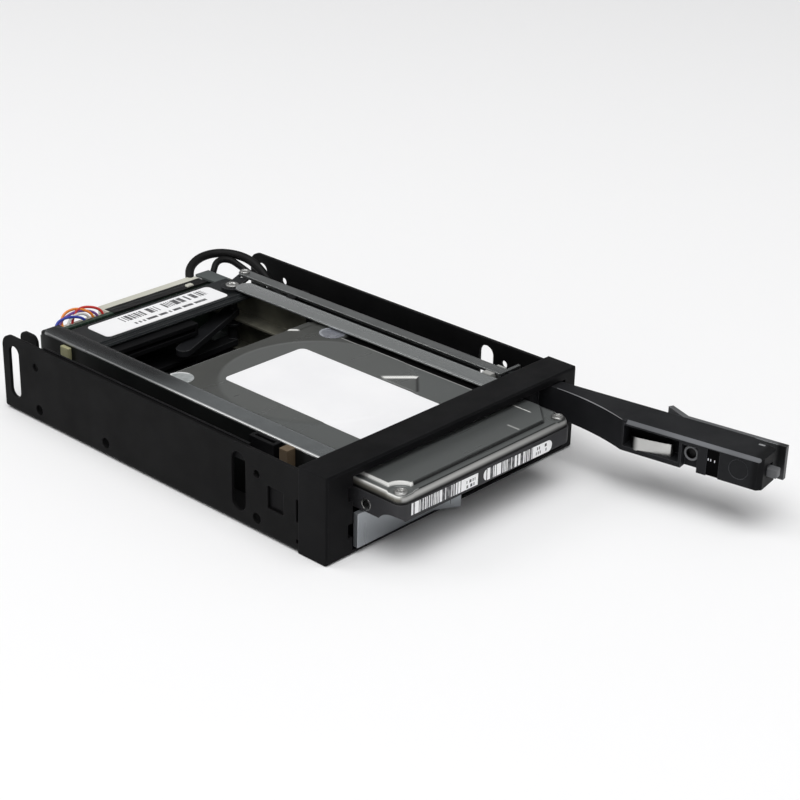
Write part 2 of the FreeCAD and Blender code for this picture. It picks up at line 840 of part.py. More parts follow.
def make_door(prefix, bottom, is_open):
    top = bottom + panel_height
    inner_bottom = bottom + panel_skirt
    middle = (inner_bottom + top) / 2.0
    half = (top - inner_bottom) / 2.0
    deep = door_inner + past
    spring_s = door_length - spring_from_end
    spring_h = door_inner - spring_pocket_depth
    boss_s = door_length - boss_from_end
    boss_h = door_inner - boss_pocket_depth
    boss_top = middle + boss_r + boss_room
    lens_s = door_length - lens_from_end
    lens_h = door_inner - lens_depth
    pocket_half = half - pocket_wall
    pin_half = half - pin_wall
    hub_room = handle_hub_r + 2.0 * handle_gap
    hub_left = handle_pin_s - hub_room
    hub_right = handle_pin_s + hub_room
    hub_floor = handle_pin_h + hub_room - handle_gap
    finger_left = handle_pin_s - finger_half - finger_swing
    finger_right = handle_pin_s + finger_half + finger_clear
    bolt_seat = handle_pin_s - bolt_tail - bolt_travel - handle_gap
    bolt_back_wall = bolt_back + bolt_gap
    far = door_length + past
    pin_x = hinge_x - handle_pin_s
    pin_y = hinge_y + handle_pin_h
    pin = post(pin_x, pin_y, middle - pin_half, middle + pin_half, handle_pin_r)
    cuts = [
        post(hinge_x, hinge_y, bottom - past, top + past, pin_r + running_gap),
        door_box(skirt_start, far, skirt_face, deep, bottom - past, inner_bottom),
        door_bar(spring_s, spring_s + spring_pocket_length, spring_h, deep, middle, pocket_half),
        door_box(boss_s, boss_s + boss_pocket_length, boss_h, deep, inner_bottom - past, boss_top),
        door_box(lens_s, lens_s + lens_length, lens_h, deep, inner_bottom - past, top - lens_roof),
        door_bar(hub_left, hub_right, -door_outer - past, hub_floor, middle, pocket_half),
        door_bar(finger_left, finger_right, hub_floor - finger_overlap, 0.0, middle, finger_half_room),
        door_bar(bolt_seat, far, bolt_front - bolt_gap, bolt_back_wall, middle, bolt_half_height + bolt_gap),
        door_button(door_length - mark_from_end, door_inner - mark_depth, middle, mark_r, past),
        pin,
    ]
    bevel_end = door_length - bevel_margin
    bevel_start = door_length - pad_from_end + end_chamfer
    wedge = face_of([
        on_door(bevel_end, door_inner + bevel, top + bevel),
        on_door(bevel_end, door_inner - bevel, top + bevel),
        on_door(bevel_end, door_inner - bevel, top),
        on_door(bevel_end, door_inner, top - bevel),
        on_door(bevel_end, door_inner + bevel, top - bevel),
    ])
    cuts.append(wedge.extrude(vec(bevel_end - bevel_start, 0, 0)))
    save(prefix + "_door_frame", swung(door_body(bottom, top).cut(cuts), is_open))
    save(prefix + "_handle_pin", swung(pin, is_open))
    lens_face = door_inner - lens_recess
    lens_low = inner_bottom + handle_edge_gap
    lens = door_box(lens_s, lens_s + lens_length, lens_h, lens_face, lens_low, top - lens_roof)
    save(prefix + "_door_window", swung(lens, is_open))
    ring_s = boss_s + boss_pocket_length / 2.0
    ring = door_button(ring_s, boss_h, middle, boss_r, boss_height)
    ring = ring.cut(door_button(ring_s, boss_h - past, middle, boss_bore_r, boss_height + 2.0 * past))
    save(prefix + "_boss_ring", swung(ring, is_open))
    save(prefix + "_leaf_spring", swung(leaf_spring(spring_s, spring_h, middle), is_open))
    save(prefix + "_handle", swung(handle(bottom, top, middle, half), is_open))
    save(prefix + "_bolt", swung(bolt(middle), is_open))


def leaf_spring(start, floor, middle):
    # A strip that lies on the pocket's floor, rises to a crown and hooks back down.
    low = middle - leaf_width / 2.0
    crown = door_inner - leaf_crown
    stations = [
        on_door(start, floor, low),
        on_door(start + leaf_flat, floor, low),
        on_door(start + leaf_ramp_end, crown, low),
        on_door(start + leaf_tip, crown - leaf_tip_drop, low),
    ]
    return bent_sheet(stations, leaf_sheet, leaf_bend_r, vec(0, 0, leaf_width))


def handle(bottom, top, middle, half):
    # A folded plate with a flared grip, a hub on the pin and a finger that reaches into the bolt.
    low = bottom + handle_edge_gap
    start = door_length - handle_from_end
    inner_face = -door_outer - handle_stand
    hub_half = half - hub_wall
    fold = [
        on_door(start, inner_face - flare_out, low),
        on_door(start + flare_length, inner_face, low),
        on_door(door_length + handle_past_end, inner_face, low),
    ]
    plate = bent_sheet(fold, -handle_sheet, flare_bend_r, vec(0, 0, top - bottom - 2.0 * handle_edge_gap))
    hub_x = hinge_x - handle_pin_s
    hub_y = hinge_y + handle_pin_h
    hub = post(hub_x, hub_y, middle - hub_half, middle + hub_half, handle_hub_r)
    stem_left = handle_pin_s - stem_half
    stem_right = handle_pin_s + stem_half
    stem = door_bar(stem_left, stem_right, inner_face - running_gap, handle_pin_h, middle, hub_half)
    finger_left = handle_pin_s - finger_half
    finger_right = handle_pin_s + finger_half
    finger = door_bar(finger_left, finger_right, handle_pin_h, finger_reach, middle, finger_half_height)
    bore = post(hub_x, hub_y, bottom, top, handle_pin_r + running_gap)
    return plate.fuse([hub, stem, finger]).removeSplitter().cut(bore)


def bolt(middle):
    # A square bar with a room for the handle's finger and a sloped nose.
    bar = door_bar(handle_pin_s - bolt_tail, bolt_end, bolt_front, bolt_back, middle, bolt_half_height)
    room_left = handle_pin_s - finger_half - handle_gap
    room_right = handle_pin_s + finger_half + finger_clear
    room_back = finger_reach + handle_gap
    room = door_bar(room_left, room_right, bolt_front - past, room_back, middle, finger_half_room)
    low = middle - bolt_half_height - past
    slope = face_of([
        on_door(bolt_end - bolt_slope, bolt_back, low),
        on_door(bolt_end - bolt_slope, bolt_back + past, low),
        on_door(bolt_end + past, bolt_back + past, low),
        on_door(bolt_end + past, bolt_nose, low),
        on_door(bolt_end, bolt_nose, low),
    ])
    return bar.cut([room, slope.extrude(vec(0, 0, 2.0 * (bolt_half_height + past)))])


def make_ejector(prefix, arm_z, blade_z, pin_low, pin_high, is_home):
    # Lever: a post with a short slotted arm to the rod and a long blade behind the drive.
    pin_room = rod_pin_r + slot_gap
    arm_top = arm_z + arm_thick
    arm = box(0, rod_arm + arm_past_pin, -arm_half, arm_half, arm_z, arm_top)
    slot_start = rod_arm - slot_before_pin
    slot_end = rod_arm + slot_past_pin
    pin_slot = box(slot_start, slot_end, -pin_room, pin_room, arm_z - past, arm_top + past)
    hub = post(0, 0, arm_z, arm_top, hub_r)
    blade = box(-lever_reach, 0, -blade_half, blade_half, blade_z, blade_z + blade_thick)
    tip = post(-lever_reach, 0, blade_z, blade_z + blade_thick, blade_half)
    shaft = post(0, 0, blade_z, arm_top, shaft_r)
    pivot = post(0, 0, pin_low, pin_high, pin_r)
    lever = arm.cut(pin_slot).fuse([hub, blade, tip, shaft, pivot]).removeSplitter()
    lever.rotate(vec(0, 0, 0), up, lever_rest_deg - (lever_turn_deg if is_home else 0.0))
    lever.translate(vec(lever_x, lever_y, 0))
    save(prefix + "_lever", lever)
    # Rod: a flat strap with a wide turned-down front end and a pin into the short arm.
    shift = vec(0, -rod_travel if is_home else 0.0, 0)
    z0 = arm_top + running_gap
    z1 = z0 + rod_thick
    strap = box(rod_left, rod_right, rod_front, rod_pin_y, z0, z1)
    end = post(rod_pin_x, rod_pin_y, z0, z1, rod_width / 2.0)
    toe = box(rod_left, rod_left + toe_width, rod_front, rod_front + toe_sheet, z0 - toe_drop, z1)
    pin = post(rod_pin_x, rod_pin_y, arm_z + 2.0 * running_gap, z1, rod_pin_r)
    rod = strap.fuse([end, toe, pin]).removeSplitter()
    rod.translate(shift)
    save(prefix + "_rod", rod)
    screw = post(rod_pin_x, rod_pin_y, z1, z1 + screw_head, rod_screw_r)
    screw.translate(shift)
    save(prefix + "_rod_screw", screw)


def make_ejectors():
    upper_blade = middle_shelf_top + upper_blade_lift
    lower_blade = lower_shelf_top + lower_blade_lift
    shelf_middle = (middle_shelf_bottom + middle_shelf_top) / 2.0
    make_ejector("upper", upper_arm_bottom, upper_blade, shelf_middle, upper_blade + pivot_root, False)
    make_ejector("lower", lower_arm_bottom, lower_blade, pivot_lift, shelf_middle - pivot_part, True)
    cap_z = upper_arm_bottom + arm_thick
    save("upper_lever_screw", post(lever_x, lever_y, cap_z, cap_z + screw_head, lever_screw_r))


def make_drive():
    bottom = upper_drive_bottom
    mouth_half = nose_half + nose_gap
    mouth_low = bottom + sata_bottom - 2.0 * tongue_gap
    mouth_high = bottom + sata_top + tongue_gap
    mouth = centred(sata_x, mouth_half, drive_rear - sata_depth, drive_rear + past, mouth_low, mouth_high)
    make_casting(bottom, mouth)
    make_cover(bottom, mouth)
    tongue_z = bottom + sata_bottom + tongue_low
    tongue_rear = drive_rear - 2.0 * tongue_gap
    tongue_front = drive_rear - sata_depth
    tongue = centred(sata_x, tongue_half, tongue_front, tongue_rear, tongue_z, tongue_z + tongue_sheet)
    save("drive_plug", tongue)
    make_front_labels(bottom)


def make_casting(bottom, mouth):
    top = bottom + drive_height - casting_drop
    casting = rounded_plate(drive_left, drive_right, drive_front, drive_rear, bottom, top, casting_corner_r)
    x0 = drive_left + board_side_in
    x1 = drive_right - board_side_in
    y0 = drive_front + board_front_in
    y1 = drive_rear - board_rear_in
    cuts = [mouth, box(x0, x1, y0, y1, bottom - past, bottom + board_recess)]
    lip_rear = drive_front + lip_depth
    lip_top = bottom + lip_step
    cuts.append(box(drive_left, drive_right, drive_front, lip_rear, bottom, lip_top))
    for x, side in ((drive_left, 1.0), (drive_right, -1.0)):
        start = vec(x - side * relief_reach, drive_front + relief_in - relief_reach, bottom - relief_drop)
        across = 2.0 * math.sqrt(2.0) * relief_reach
        cuts.append(Part.makeCylinder(relief_r, across, start, vec(side, 1.0, 0.0)))
    for step in (0.0, side_hole_step):
        y = drive_front + side_hole_front + step
        z = bottom + side_hole_z
        cuts.append(cross_hole(drive_left - past, drive_left + side_hole_depth, y, z, side_hole_r))
        cuts.append(cross_hole(drive_right - side_hole_depth, drive_right + past, y, z, side_hole_r))
    save("drive_base", casting.cut(cuts))
    g = board_edge_gap
    low = bottom + board_recess - drive_board_sheet
    save("drive_board", box(x0 + g, x1 - g, y0 + g, y1 - g, low, bottom + board_recess))


def make_cover(bottom, mouth):
    casting_top = bottom + drive_height - casting_drop
    rim_top = bottom + drive_height - rim_drop
    lid_top = bottom + drive_height - lid_drop
    bulge_top = bottom + drive_height - bulge_drop
    top = bottom + drive_height
    rim = rounded_plate(
        drive_left + rim_inset,
        drive_right - rim_inset,
        drive_front + rim_inset,
        drive_rear - rim_inset,
        casting_top,
        rim_top,
        casting_corner_r,
    )
    lid = rounded_plate(
        drive_left + lid_side_in,
        drive_right - lid_side_in,
        drive_front + lid_front_in,
        drive_rear - lid_rear_in,
        rim_top,
        lid_top,
        lid_corner_r,
    )
    notches = []
    screws = []
    for x in (drive_left + lid_screw_in, drive_right - lid_screw_in):
        for y in (drive_front + lid_screw_in, drive_rear - lid_screw_in):
            notches.append(post(x, y, rim_top, top, lid_notch_r))
            screws.append(post(x, y, rim_top, rim_top + lid_screw_head, lid_screw_r))
    spindle_y = drive_rear - drive_width / 2.0
    bulge = post(cage_centre, spindle_y, lid_top, bulge_top, drive_width / 2.0 - bulge_side_in)
    label_right = drive_right - top_label_right
    crest_x = drive_right - crest_right_in
    crest_y = drive_rear - crest_rear_in
    crest_left = label_right + crest_gap
    crest = face_of([
        vec(crest_left, crest_y + crest_slope * (crest_x - crest_left), lid_top),
        vec(crest_x, crest_y, lid_top),
        vec(crest_left, crest_y - crest_slope * (crest_x - crest_left), lid_top),
    ])
    crest = crest.extrude(vec(0, 0, lid_drop - crest_drop))
    cover = rim.fuse([lid.cut(notches), bulge, crest]).removeSplitter()
    save("drive_cover", cover.cut(mouth))
    save("drive_screws", Part.makeCompound(screws))
    foils = []
    for x, y in (
        (drive_left + left_foil_in, drive_rear - left_foil_rear),
        (drive_right - right_foil_in, drive_rear - right_foil_rear),
    ):
        foils.append(post(x, y, lid_top, lid_top + foil_sheet, foil_r).cut(notches + [bulge]))
    save("drive_discs", Part.makeCompound(foils))
    label = rounded_plate(
        drive_left + top_label_left,
        label_right,
        drive_front + top_label_front,
        drive_rear - top_label_rear,
        bulge_top,
        top,
        top_label_r,
    )
    save("drive_top_label", label)


def make_front_labels(bottom):
    # Two printed strips stuck a little askew on the casting's front; the right one has round ends.
    low = bottom + front_label_low
    high = bottom + drive_height - casting_drop - front_label_high
    split = cage_centre + front_label_shift
    y0 = drive_front - front_label_sheet
    middle = vec(split, y0, (low + high) / 2.0)
    left = box(drive_left + front_label_left, split - front_label_half_gap, y0, drive_front, low, high)
    left.rotate(middle, along_y, front_label_tilt)
    save("drive_label_left", left)
    right = box(split + front_label_half_gap, drive_right - front_label_right, y0, drive_front, low, high)
    corners = edges_at(right, lambda b: b.YLength > 0.5 * front_label_sheet)
    right = right.makeFillet((high - low - front_label_flat) / 2.0, corners)
    right.rotate(middle, along_y, front_label_tilt)
    save("drive_label_right", right)


make_chassis()
make_bezel()
make_rails()
make_crossbar()
make_backplane()
make_cable()
make_fittings()
make_door("upper", upper_door_bottom, True)
make_door("lower", lower_door_bottom, False)
make_ejectors()
make_drive()
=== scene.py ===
import json
import math
import bmesh
import bpy
import numpy as np
from mathutils import Matrix, Vector


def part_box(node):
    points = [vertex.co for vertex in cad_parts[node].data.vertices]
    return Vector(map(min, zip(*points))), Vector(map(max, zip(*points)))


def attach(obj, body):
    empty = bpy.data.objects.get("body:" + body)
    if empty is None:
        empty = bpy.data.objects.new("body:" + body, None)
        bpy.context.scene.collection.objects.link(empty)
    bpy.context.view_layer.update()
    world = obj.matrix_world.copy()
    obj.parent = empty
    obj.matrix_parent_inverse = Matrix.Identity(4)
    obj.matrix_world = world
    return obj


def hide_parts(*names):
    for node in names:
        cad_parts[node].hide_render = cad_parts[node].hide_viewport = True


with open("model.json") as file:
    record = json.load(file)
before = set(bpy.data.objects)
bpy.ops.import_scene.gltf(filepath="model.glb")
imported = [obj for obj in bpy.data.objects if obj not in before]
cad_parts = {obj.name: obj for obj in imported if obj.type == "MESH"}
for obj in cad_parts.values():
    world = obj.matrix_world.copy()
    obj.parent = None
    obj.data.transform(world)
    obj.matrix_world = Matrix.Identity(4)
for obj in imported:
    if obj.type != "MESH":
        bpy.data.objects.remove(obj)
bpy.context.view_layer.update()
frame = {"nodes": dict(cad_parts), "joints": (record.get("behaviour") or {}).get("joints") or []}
nodes = frame["nodes"]
scene = bpy.context.scene
scene.view_settings.view_transform = "Standard"
mm = 0.001
originY = 68.4    # the drawing counts y from the bezel's front, the saved frame from the rack's middle
print("frame loaded,", len(nodes), "nodes")

photoCamera = {
    "azimuth": -47.526,
    "elevation": 24.885,
    "roll": 1.429,
    "distance": 0.5517,
    "target": (0.01759, -0.03008, 0.0127),
    "lens": 85.05,
    "sensor": 36.0,
    "clip": (0.01, 20.0),
}


# The eye stands on a sphere round the target, and the picture is rolled about the line of sight.
def placeCamera(view):
    azimuth, elevation, roll = (math.radians(view[key]) for key in ("azimuth", "elevation", "roll"))
    back = Vector((
        math.sin(azimuth) * math.cos(elevation),
        -math.cos(azimuth) * math.cos(elevation),
        math.sin(elevation),
    ))
    right = (-back).cross(Vector((0, 0, 1))).normalized()
    up = right.cross(-back)
    across = right * math.cos(roll) + up * math.sin(roll)
    rise = up * math.cos(roll) - right * math.sin(roll)
    lens = bpy.data.cameras.new("photoCamera")
    lens.lens = view["lens"]
    lens.sensor_fit = "HORIZONTAL"
    lens.sensor_width = view["sensor"]
    lens.clip_start, lens.clip_end = view["clip"]
    eye = bpy.data.objects.new("photoCamera", lens)
    scene.collection.objects.link(eye)
    place = Matrix.Translation(Vector(view["target"]) + back * view["distance"])
    eye.matrix_world = place @ Matrix((across, rise, back)).transposed().to_4x4()
    scene.camera = eye


placeCamera(photoCamera)
print("camera placed")


# Node helpers: a number or colour fills a socket, and another node's socket is linked to it.
def addNode(tree, kind, inputs=None, **settings):
    made = tree.nodes.new(kind)
    for key, value in settings.items():
        setattr(made, key, value)
    for key, value in (inputs or {}).items():
        if isinstance(value, bpy.types.NodeSocket):
            tree.links.new(value, made.inputs[key])
        else:
            made.inputs[key].default_value = value
    return made


def calc(tree, operation, first, second=0.0):
    return addNode(tree, "ShaderNodeMath", {0: first, 1: second}, operation=operation).outputs[0]


def vectorCalc(tree, operation, first, second):
    return addNode(tree, "ShaderNodeVectorMath", {0: first, 1: second}, operation=operation).outputs


def spread(tree, value, low, high, toLow=0.0, toHigh=1.0):
    return addNode(tree, "ShaderNodeMapRange", {0: value, 1: low, 2: high, 3: toLow, 4: toHigh}).outputs[0]


def blendTone(tree, amount, first, second):
    return addNode(tree, "ShaderNodeMix", {0: amount, 6: first, 7: second}, data_type="RGBA").outputs[2]


def mottle(tree, place, scale, detail=3.0):
    inputs = {"Vector": place, "Scale": scale, "Detail": detail}
    return addNode(tree, "ShaderNodeTexNoise", inputs).outputs[0]


def readTone(tree, name):
    return addNode(tree, "ShaderNodeAttribute", attribute_name=name).outputs["Fac"]


def tone(values):
    return (*values, 1.0)


# What a finish has unless its own dictionary says otherwise; sizes are in millimetres.
usualLook = {
    "driftScale": 60.0, "edge": 0.3, "edgeWearAndSheenAmount": 0.6, "wearScale": 220.0, "wearLeast": 0.35,
    "stretch": (1, 1, 1), "grainScale": 1400.0, "grainDepth": 0.03, "bump": 0.25, "smudgeScale": 130.0,
    "metal": 0.0, "shine": 0.5,
}
noiseBand = (0.3, 0.7)    # nearly all of a noise's values lie in here
noiseCore = (0.35, 0.65)
# One edge tone stands for wear and a painted highlight together; edgeTurn sets where it starts and where it
# is whole.
edgeTurn = (0.985, 0.75)    # cosine of the turn at which an edge starts to look rubbed, and looks wholly so


# Starts a finish: two tones drift into each other, edges show a third that is partly wear and partly a
# painted highlight, roughness wanders, and a fine grain lifts the surface, with the edges themselves shaded
# as if rounded.
def startFinish(name, ownLook):
    look = {**usualLook, **ownLook}
    finish = bpy.data.materials.new(name)
    finish.use_nodes = True
    tree = finish.node_tree
    shader = tree.nodes["Principled BSDF"]
    place = addNode(tree, "ShaderNodeTexCoord").outputs["Object"]
    grainPlace = addNode(tree, "ShaderNodeMapping", {"Vector": place, "Scale": look["stretch"]}).outputs[0]
    drift = spread(tree, mottle(tree, place, look["driftScale"]), *noiseCore)
    colour = blendTone(tree, drift, tone(look["tones"][0]), tone(look["tones"][1]))
    edge = addNode(tree, "ShaderNodeBevel", {"Radius": look["edge"] * mm}, samples=4).outputs[0]
    # The edge tone is wear and a painted highlight at once, lighter where the surface turns over an edge.
    if "edgeWearAndSheen" in look:
        flat = addNode(tree, "ShaderNodeNewGeometry").outputs["True Normal"]
        turned = vectorCalc(tree, "DOT_PRODUCT", edge, flat)["Value"]
        rubbedAndLit = calc(tree, "MULTIPLY", spread(tree, turned, *edgeTurn), look["edgeWearAndSheenAmount"])
        patches = mottle(tree, place, look["wearScale"], detail=4.0)
        patchy = spread(tree, patches, *noiseBand, look["wearLeast"], 1.0)
        colour = blendTone(tree, calc(tree, "MULTIPLY", rubbedAndLit, patchy), colour, tone(look["edgeWearAndSheen"]))
    smudge = mottle(tree, grainPlace, look["smudgeScale"], detail=4.0)
    tree.links.new(spread(tree, smudge, *noiseBand, *look["rough"]), shader.inputs["Roughness"])
    bump = addNode(tree, "ShaderNodeBump", {
        "Height": mottle(tree, grainPlace, look["grainScale"], detail=2.0),
        "Normal": edge,
        "Strength": look["bump"],
        "Distance": look["grainDepth"] * mm,
    })
    tree.links.new(bump.outputs[0], shader.inputs["Normal"])
    tree.links.new(colour, shader.inputs["Base Color"])
    shader.inputs["Metallic"].default_value = look["metal"]
    shader.inputs["Specular IOR Level"].default_value = look["shine"]
    return finish, tree, shader, place, colour


def plainFinish(name, look):
    return startFinish(name, look)[0]


# A finish with painted marks: each mark that the mesh carries lays its tone over what is below it.
def paintedFinish(name, look, marks):
    finish, tree, shader, place, colour = startFinish(name, look)
    for mark, markTone in marks.items():
        colour = blendTone(tree, readTone(tree, mark), colour, tone(markTone))
    tree.links.new(colour, shader.inputs["Base Color"])
    return finish


def dress(finish, *names):
    for name in names:
        for place in nodes[name].material_slots:
            place.material = finish


blackSteel = {
    "tones": ((0.006, 0.006, 0.0062), (0.0085, 0.0085, 0.0088)), "edgeWearAndSheen": (0.05, 0.05, 0.053),
    "edgeWearAndSheenAmount": 0.5, "rough": (0.46, 0.6), "shine": 0.05, "grainScale": 1700.0, "grainDepth": 0.02,
    "edge": 0.35,
}
dress(plainFinish("blackCoatedSteel", blackSteel), "chassis_tray", "rear_tab")

blackMoulding = {
    "tones": ((0.004, 0.004, 0.0045), (0.006, 0.006, 0.0066)), "edgeWearAndSheen": (0.03, 0.03, 0.033),
    "rough": (0.4, 0.52), "shine": 0.06, "grainScale": 2300.0, "grainDepth": 0.015, "edge": 0.4,
}
dress(plainFinish("blackMoulding", blackMoulding), "bezel", "left_liner", "left_clip", "upper_socket",
    "lower_socket", "rod_guide_rear")

leverMoulding = {
    "tones": ((0.011, 0.0115, 0.013), (0.016, 0.0165, 0.018)), "edgeWearAndSheen": (0.22, 0.225, 0.23),
    "edgeWearAndSheenAmount": 0.9, "rough": (0.34, 0.46), "shine": 0.12, "grainScale": 1900.0, "grainDepth": 0.015,
}
dress(plainFinish("leverMoulding", leverMoulding), "upper_lever", "lower_lever")

railSheet = {
    "tones": ((0.012, 0.013, 0.013), (0.02, 0.021, 0.021)), "edgeWearAndSheen": (0.16, 0.17, 0.17),
    "rough": (0.3, 0.44), "metal": 0.4, "shine": 0.2, "stretch": (1.0, 0.05, 1.0), "grainScale": 2600.0,
    "grainDepth": 0.006,
}
dress(plainFinish("railSheet", railSheet), "left_rail")

rodSheet = {
    "tones": ((0.2, 0.21, 0.21), (0.27, 0.28, 0.28)), "edgeWearAndSheen": (0.7, 0.71, 0.71), "rough": (0.22, 0.34),
    "metal": 0.9, "stretch": (1.0, 0.05, 1.0), "grainScale": 2600.0, "grainDepth": 0.008,
}
dress(plainFinish("rodSheet", rodSheet), "upper_rod", "lower_rod")

crossbarSheet = {
    "tones": ((0.017, 0.02, 0.022), (0.026, 0.03, 0.032)), "edgeWearAndSheen": (0.45, 0.46, 0.47),
    "rough": (0.3, 0.42), "metal": 0.8, "stretch": (0.05, 1.0, 1.0), "grainScale": 2400.0,
    "grainDepth": 0.01, "edge": 0.35,
}
dress(plainFinish("crossbarSheet", crossbarSheet), "crossbar")

lowerHandleGrey = {
    "tones": ((0.3, 0.32, 0.34), (0.37, 0.39, 0.41)), "edgeWearAndSheen": (0.85, 0.86, 0.88), "edgeWearAndSheenAmount": 0.9,
    "rough": (0.24, 0.36), "metal": 0.7, "stretch": (1.0, 1.0, 0.1), "grainScale": 2100.0,
    "grainDepth": 0.01,
}
dress(plainFinish("lowerHandleGrey", lowerHandleGrey), "lower_handle")

palePlastic = {
    "tones": ((0.3, 0.3, 0.29), (0.4, 0.4, 0.38)), "edgeWearAndSheen": (0.6, 0.6, 0.58), "rough": (0.35, 0.5),
    "shine": 0.4, "grainScale": 1800.0,
}
dress(plainFinish("palePlastic", palePlastic), "rod_guide_front")

brightSteel = {
    "tones": ((0.5, 0.5, 0.48), (0.62, 0.62, 0.6)), "edgeWearAndSheen": (0.85, 0.85, 0.83), "rough": (0.2, 0.34),
    "metal": 1.0, "stretch": (1.0, 0.15, 1.0), "grainScale": 2600.0, "grainDepth": 0.008, "edge": 0.25,
}
dress(plainFinish("brightSteel", brightSteel), "hinge_pin", "upper_handle_pin", "lower_handle_pin")

castBlack = {
    "tones": ((0.03, 0.03, 0.0325), (0.043, 0.043, 0.046)), "edgeWearAndSheen": (0.12, 0.12, 0.12),
    "rough": (0.4, 0.56), "shine": 0.12, "grainScale": 1500.0, "edge": 0.35,
}
dress(plainFinish("castBlack", castBlack), "drive_base", "drive_plug")

ivoryNylon = {
    "tones": ((0.5, 0.495, 0.42), (0.6, 0.595, 0.52)), "edgeWearAndSheen": (0.8, 0.79, 0.72), "rough": (0.36, 0.5),
    "shine": 0.35, "grainScale": 1500.0,
}
ivoryFinish = plainFinish("ivoryNylon", ivoryNylon)
dress(ivoryFinish, "rear_connector", "wire_header")

tanFibre = {
    "tones": ((0.1, 0.072, 0.045), (0.15, 0.11, 0.07)), "edgeWearAndSheen": (0.24, 0.18, 0.12), "rough": (0.5, 0.7),
    "shine": 0.2, "grainScale": 1300.0, "grainDepth": 0.05,
}
dress(plainFinish("tanFibre", tanFibre), "spacer_front")

smokedWindow = {
    "tones": ((0.001, 0.001, 0.0012), (0.002, 0.002, 0.0022)), "rough": (0.3, 0.4), "shine": 0.02,
    "grainScale": 500.0, "grainDepth": 0.004, "edge": 0.15,
}
dress(plainFinish("smokedWindow", smokedWindow), "upper_door_window", "lower_door_window")


# Where a value lies between two others, a mask is one.
def within(tree, value, low, high):
    above = calc(tree, "GREATER_THAN", value, low)
    return calc(tree, "MULTIPLY", above, calc(tree, "LESS_THAN", value, high))


def inMillimetres(tree, place):
    apart = addNode(tree, "ShaderNodeSeparateXYZ", {0: place})
    return [calc(tree, "MULTIPLY", apart.outputs[axis], 1.0 / mm) for axis in range(3)]


rightRail = {
    "web": (0.2, 0.195, 0.155), "webStart": 24.0, "webTop": 21.2, "patchScale": 90.0, "patchLeast": 0.4,
    "lug": (0.12, 0.135, 0.132), "lugStart": 60.0,
}


# The right rail's web is olive where it lines the bay, and its rear lug is paler than the rest.
def dressRightRail(look):
    finish, tree, shader, place, colour = startFinish("rightRailSheet", railSheet)
    y, z = inMillimetres(tree, place)[1:]
    below = calc(tree, "LESS_THAN", z, look["webTop"])
    inBay = calc(tree, "MULTIPLY", within(tree, y, look["webStart"], look["lugStart"]), below)
    patchy = spread(tree, mottle(tree, place, look["patchScale"]), *noiseCore, look["patchLeast"], 1.0)
    colour = blendTone(tree, calc(tree, "MULTIPLY", inBay, patchy), colour, tone(look["web"]))
    colour = blendTone(tree, calc(tree, "GREATER_THAN", y, look["lugStart"]), colour, tone(look["lug"]))
    tree.links.new(colour, shader.inputs["Base Color"])
    dress(finish, "right_rail")


boardTraces = {
    "pitch": 2.54, "share": 0.07, "copper": (0.05, 0.085, 0.058), "gapScale": 160.0, "gapBelow": 0.48,
}
boardGreen = {
    "tones": ((0.02, 0.035, 0.026), (0.034, 0.052, 0.038)), "edgeWearAndSheen": (0.12, 0.3, 0.24),
    "rough": (0.34, 0.5), "shine": 0.3, "grainScale": 1600.0, "edge": 0.2,
}


# Copper shows through the lacquer as thin upright lines, one to a pitch, broken by a slow noise.
def dressBoards(look):
    finish, tree, shader, place, colour = startFinish("boardGreen", boardGreen)
    x = inMillimetres(tree, place)[0]
    phase = calc(tree, "FRACT", calc(tree, "DIVIDE", x, look["pitch"]))
    broken = calc(tree, "GREATER_THAN", mottle(tree, place, look["gapScale"]), look["gapBelow"])
    line = calc(tree, "MULTIPLY", within(tree, phase, 0.5 - look["share"], 0.5 + look["share"]), broken)
    tree.links.new(blendTone(tree, line, colour, tone(look["copper"])), shader.inputs["Base Color"])
    dress(finish, "backplane", "drive_board")


dressRightRail(rightRail)
dressBoards(boardTraces)
print("finishes dressed")


# Mesh helpers. Equal angles round a whole turn, and three coordinates of a grid as points in metres.
def anglesRound(count):
    return np.linspace(0.0, 2.0 * np.pi, count, endpoint=False)


def pointsOf(x, y, z):
    return np.stack(np.broadcast_arrays(x, y, z), axis=-1) * mm


# Four-sided faces between the rows of a grid whose last column joins its first.
def gridQuads(rows, columns):
    row, column = np.meshgrid(np.arange(rows - 1), np.arange(columns), indexing="ij")
    here = row * columns
    after = (column + 1) % columns
    corners = (here + column, here + after, here + columns + after, here + columns + column)
    return np.stack(corners, axis=-1).reshape(-1, 4)


# A grid of points becomes a closed skin: the first and last rows are each closed by one face.
def skinMesh(name, points, sharpAngle=50.0):
    rows, columns = points.shape[:2]
    faces = gridQuads(rows, columns).tolist()
    faces.append(list(range(columns)))
    faces.append(list(range((rows - 1) * columns, rows * columns)))
    mesh = bpy.data.meshes.new(name)
    mesh.from_pydata(points.reshape(-1, 3).tolist(), [], faces)
    return smoothed(mesh, sharpAngle)


# Turns every face outwards, and shades smoothly except across edges sharper than the angle.
def smoothed(mesh, sharpAngle=50.0):
    shell = bmesh.new()
    shell.from_mesh(mesh)
    bmesh.ops.recalc_face_normals(shell, faces=shell.faces)
    shell.to_mesh(mesh)
    shell.free()
    mesh.polygons.foreach_set("use_smooth", np.ones(len(mesh.polygons), bool))
    mesh.set_sharp_from_angle(angle=math.radians(sharpAngle))
    return mesh


def addPiece(name, shape, finish, body, slotName, *replaced):
    piece = bpy.data.objects.new(name, shape)
    scene.collection.objects.link(piece)
    shape.materials.append(finish)
    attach(piece, body)
    if replaced:
        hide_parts(*replaced)


# An eased climb from 0 to 1: three times the square less twice the cube.
def ease(part):
    part = np.clip(part, 0.0, 1.0)
    return part * part * (3.0 - 2.0 * part)


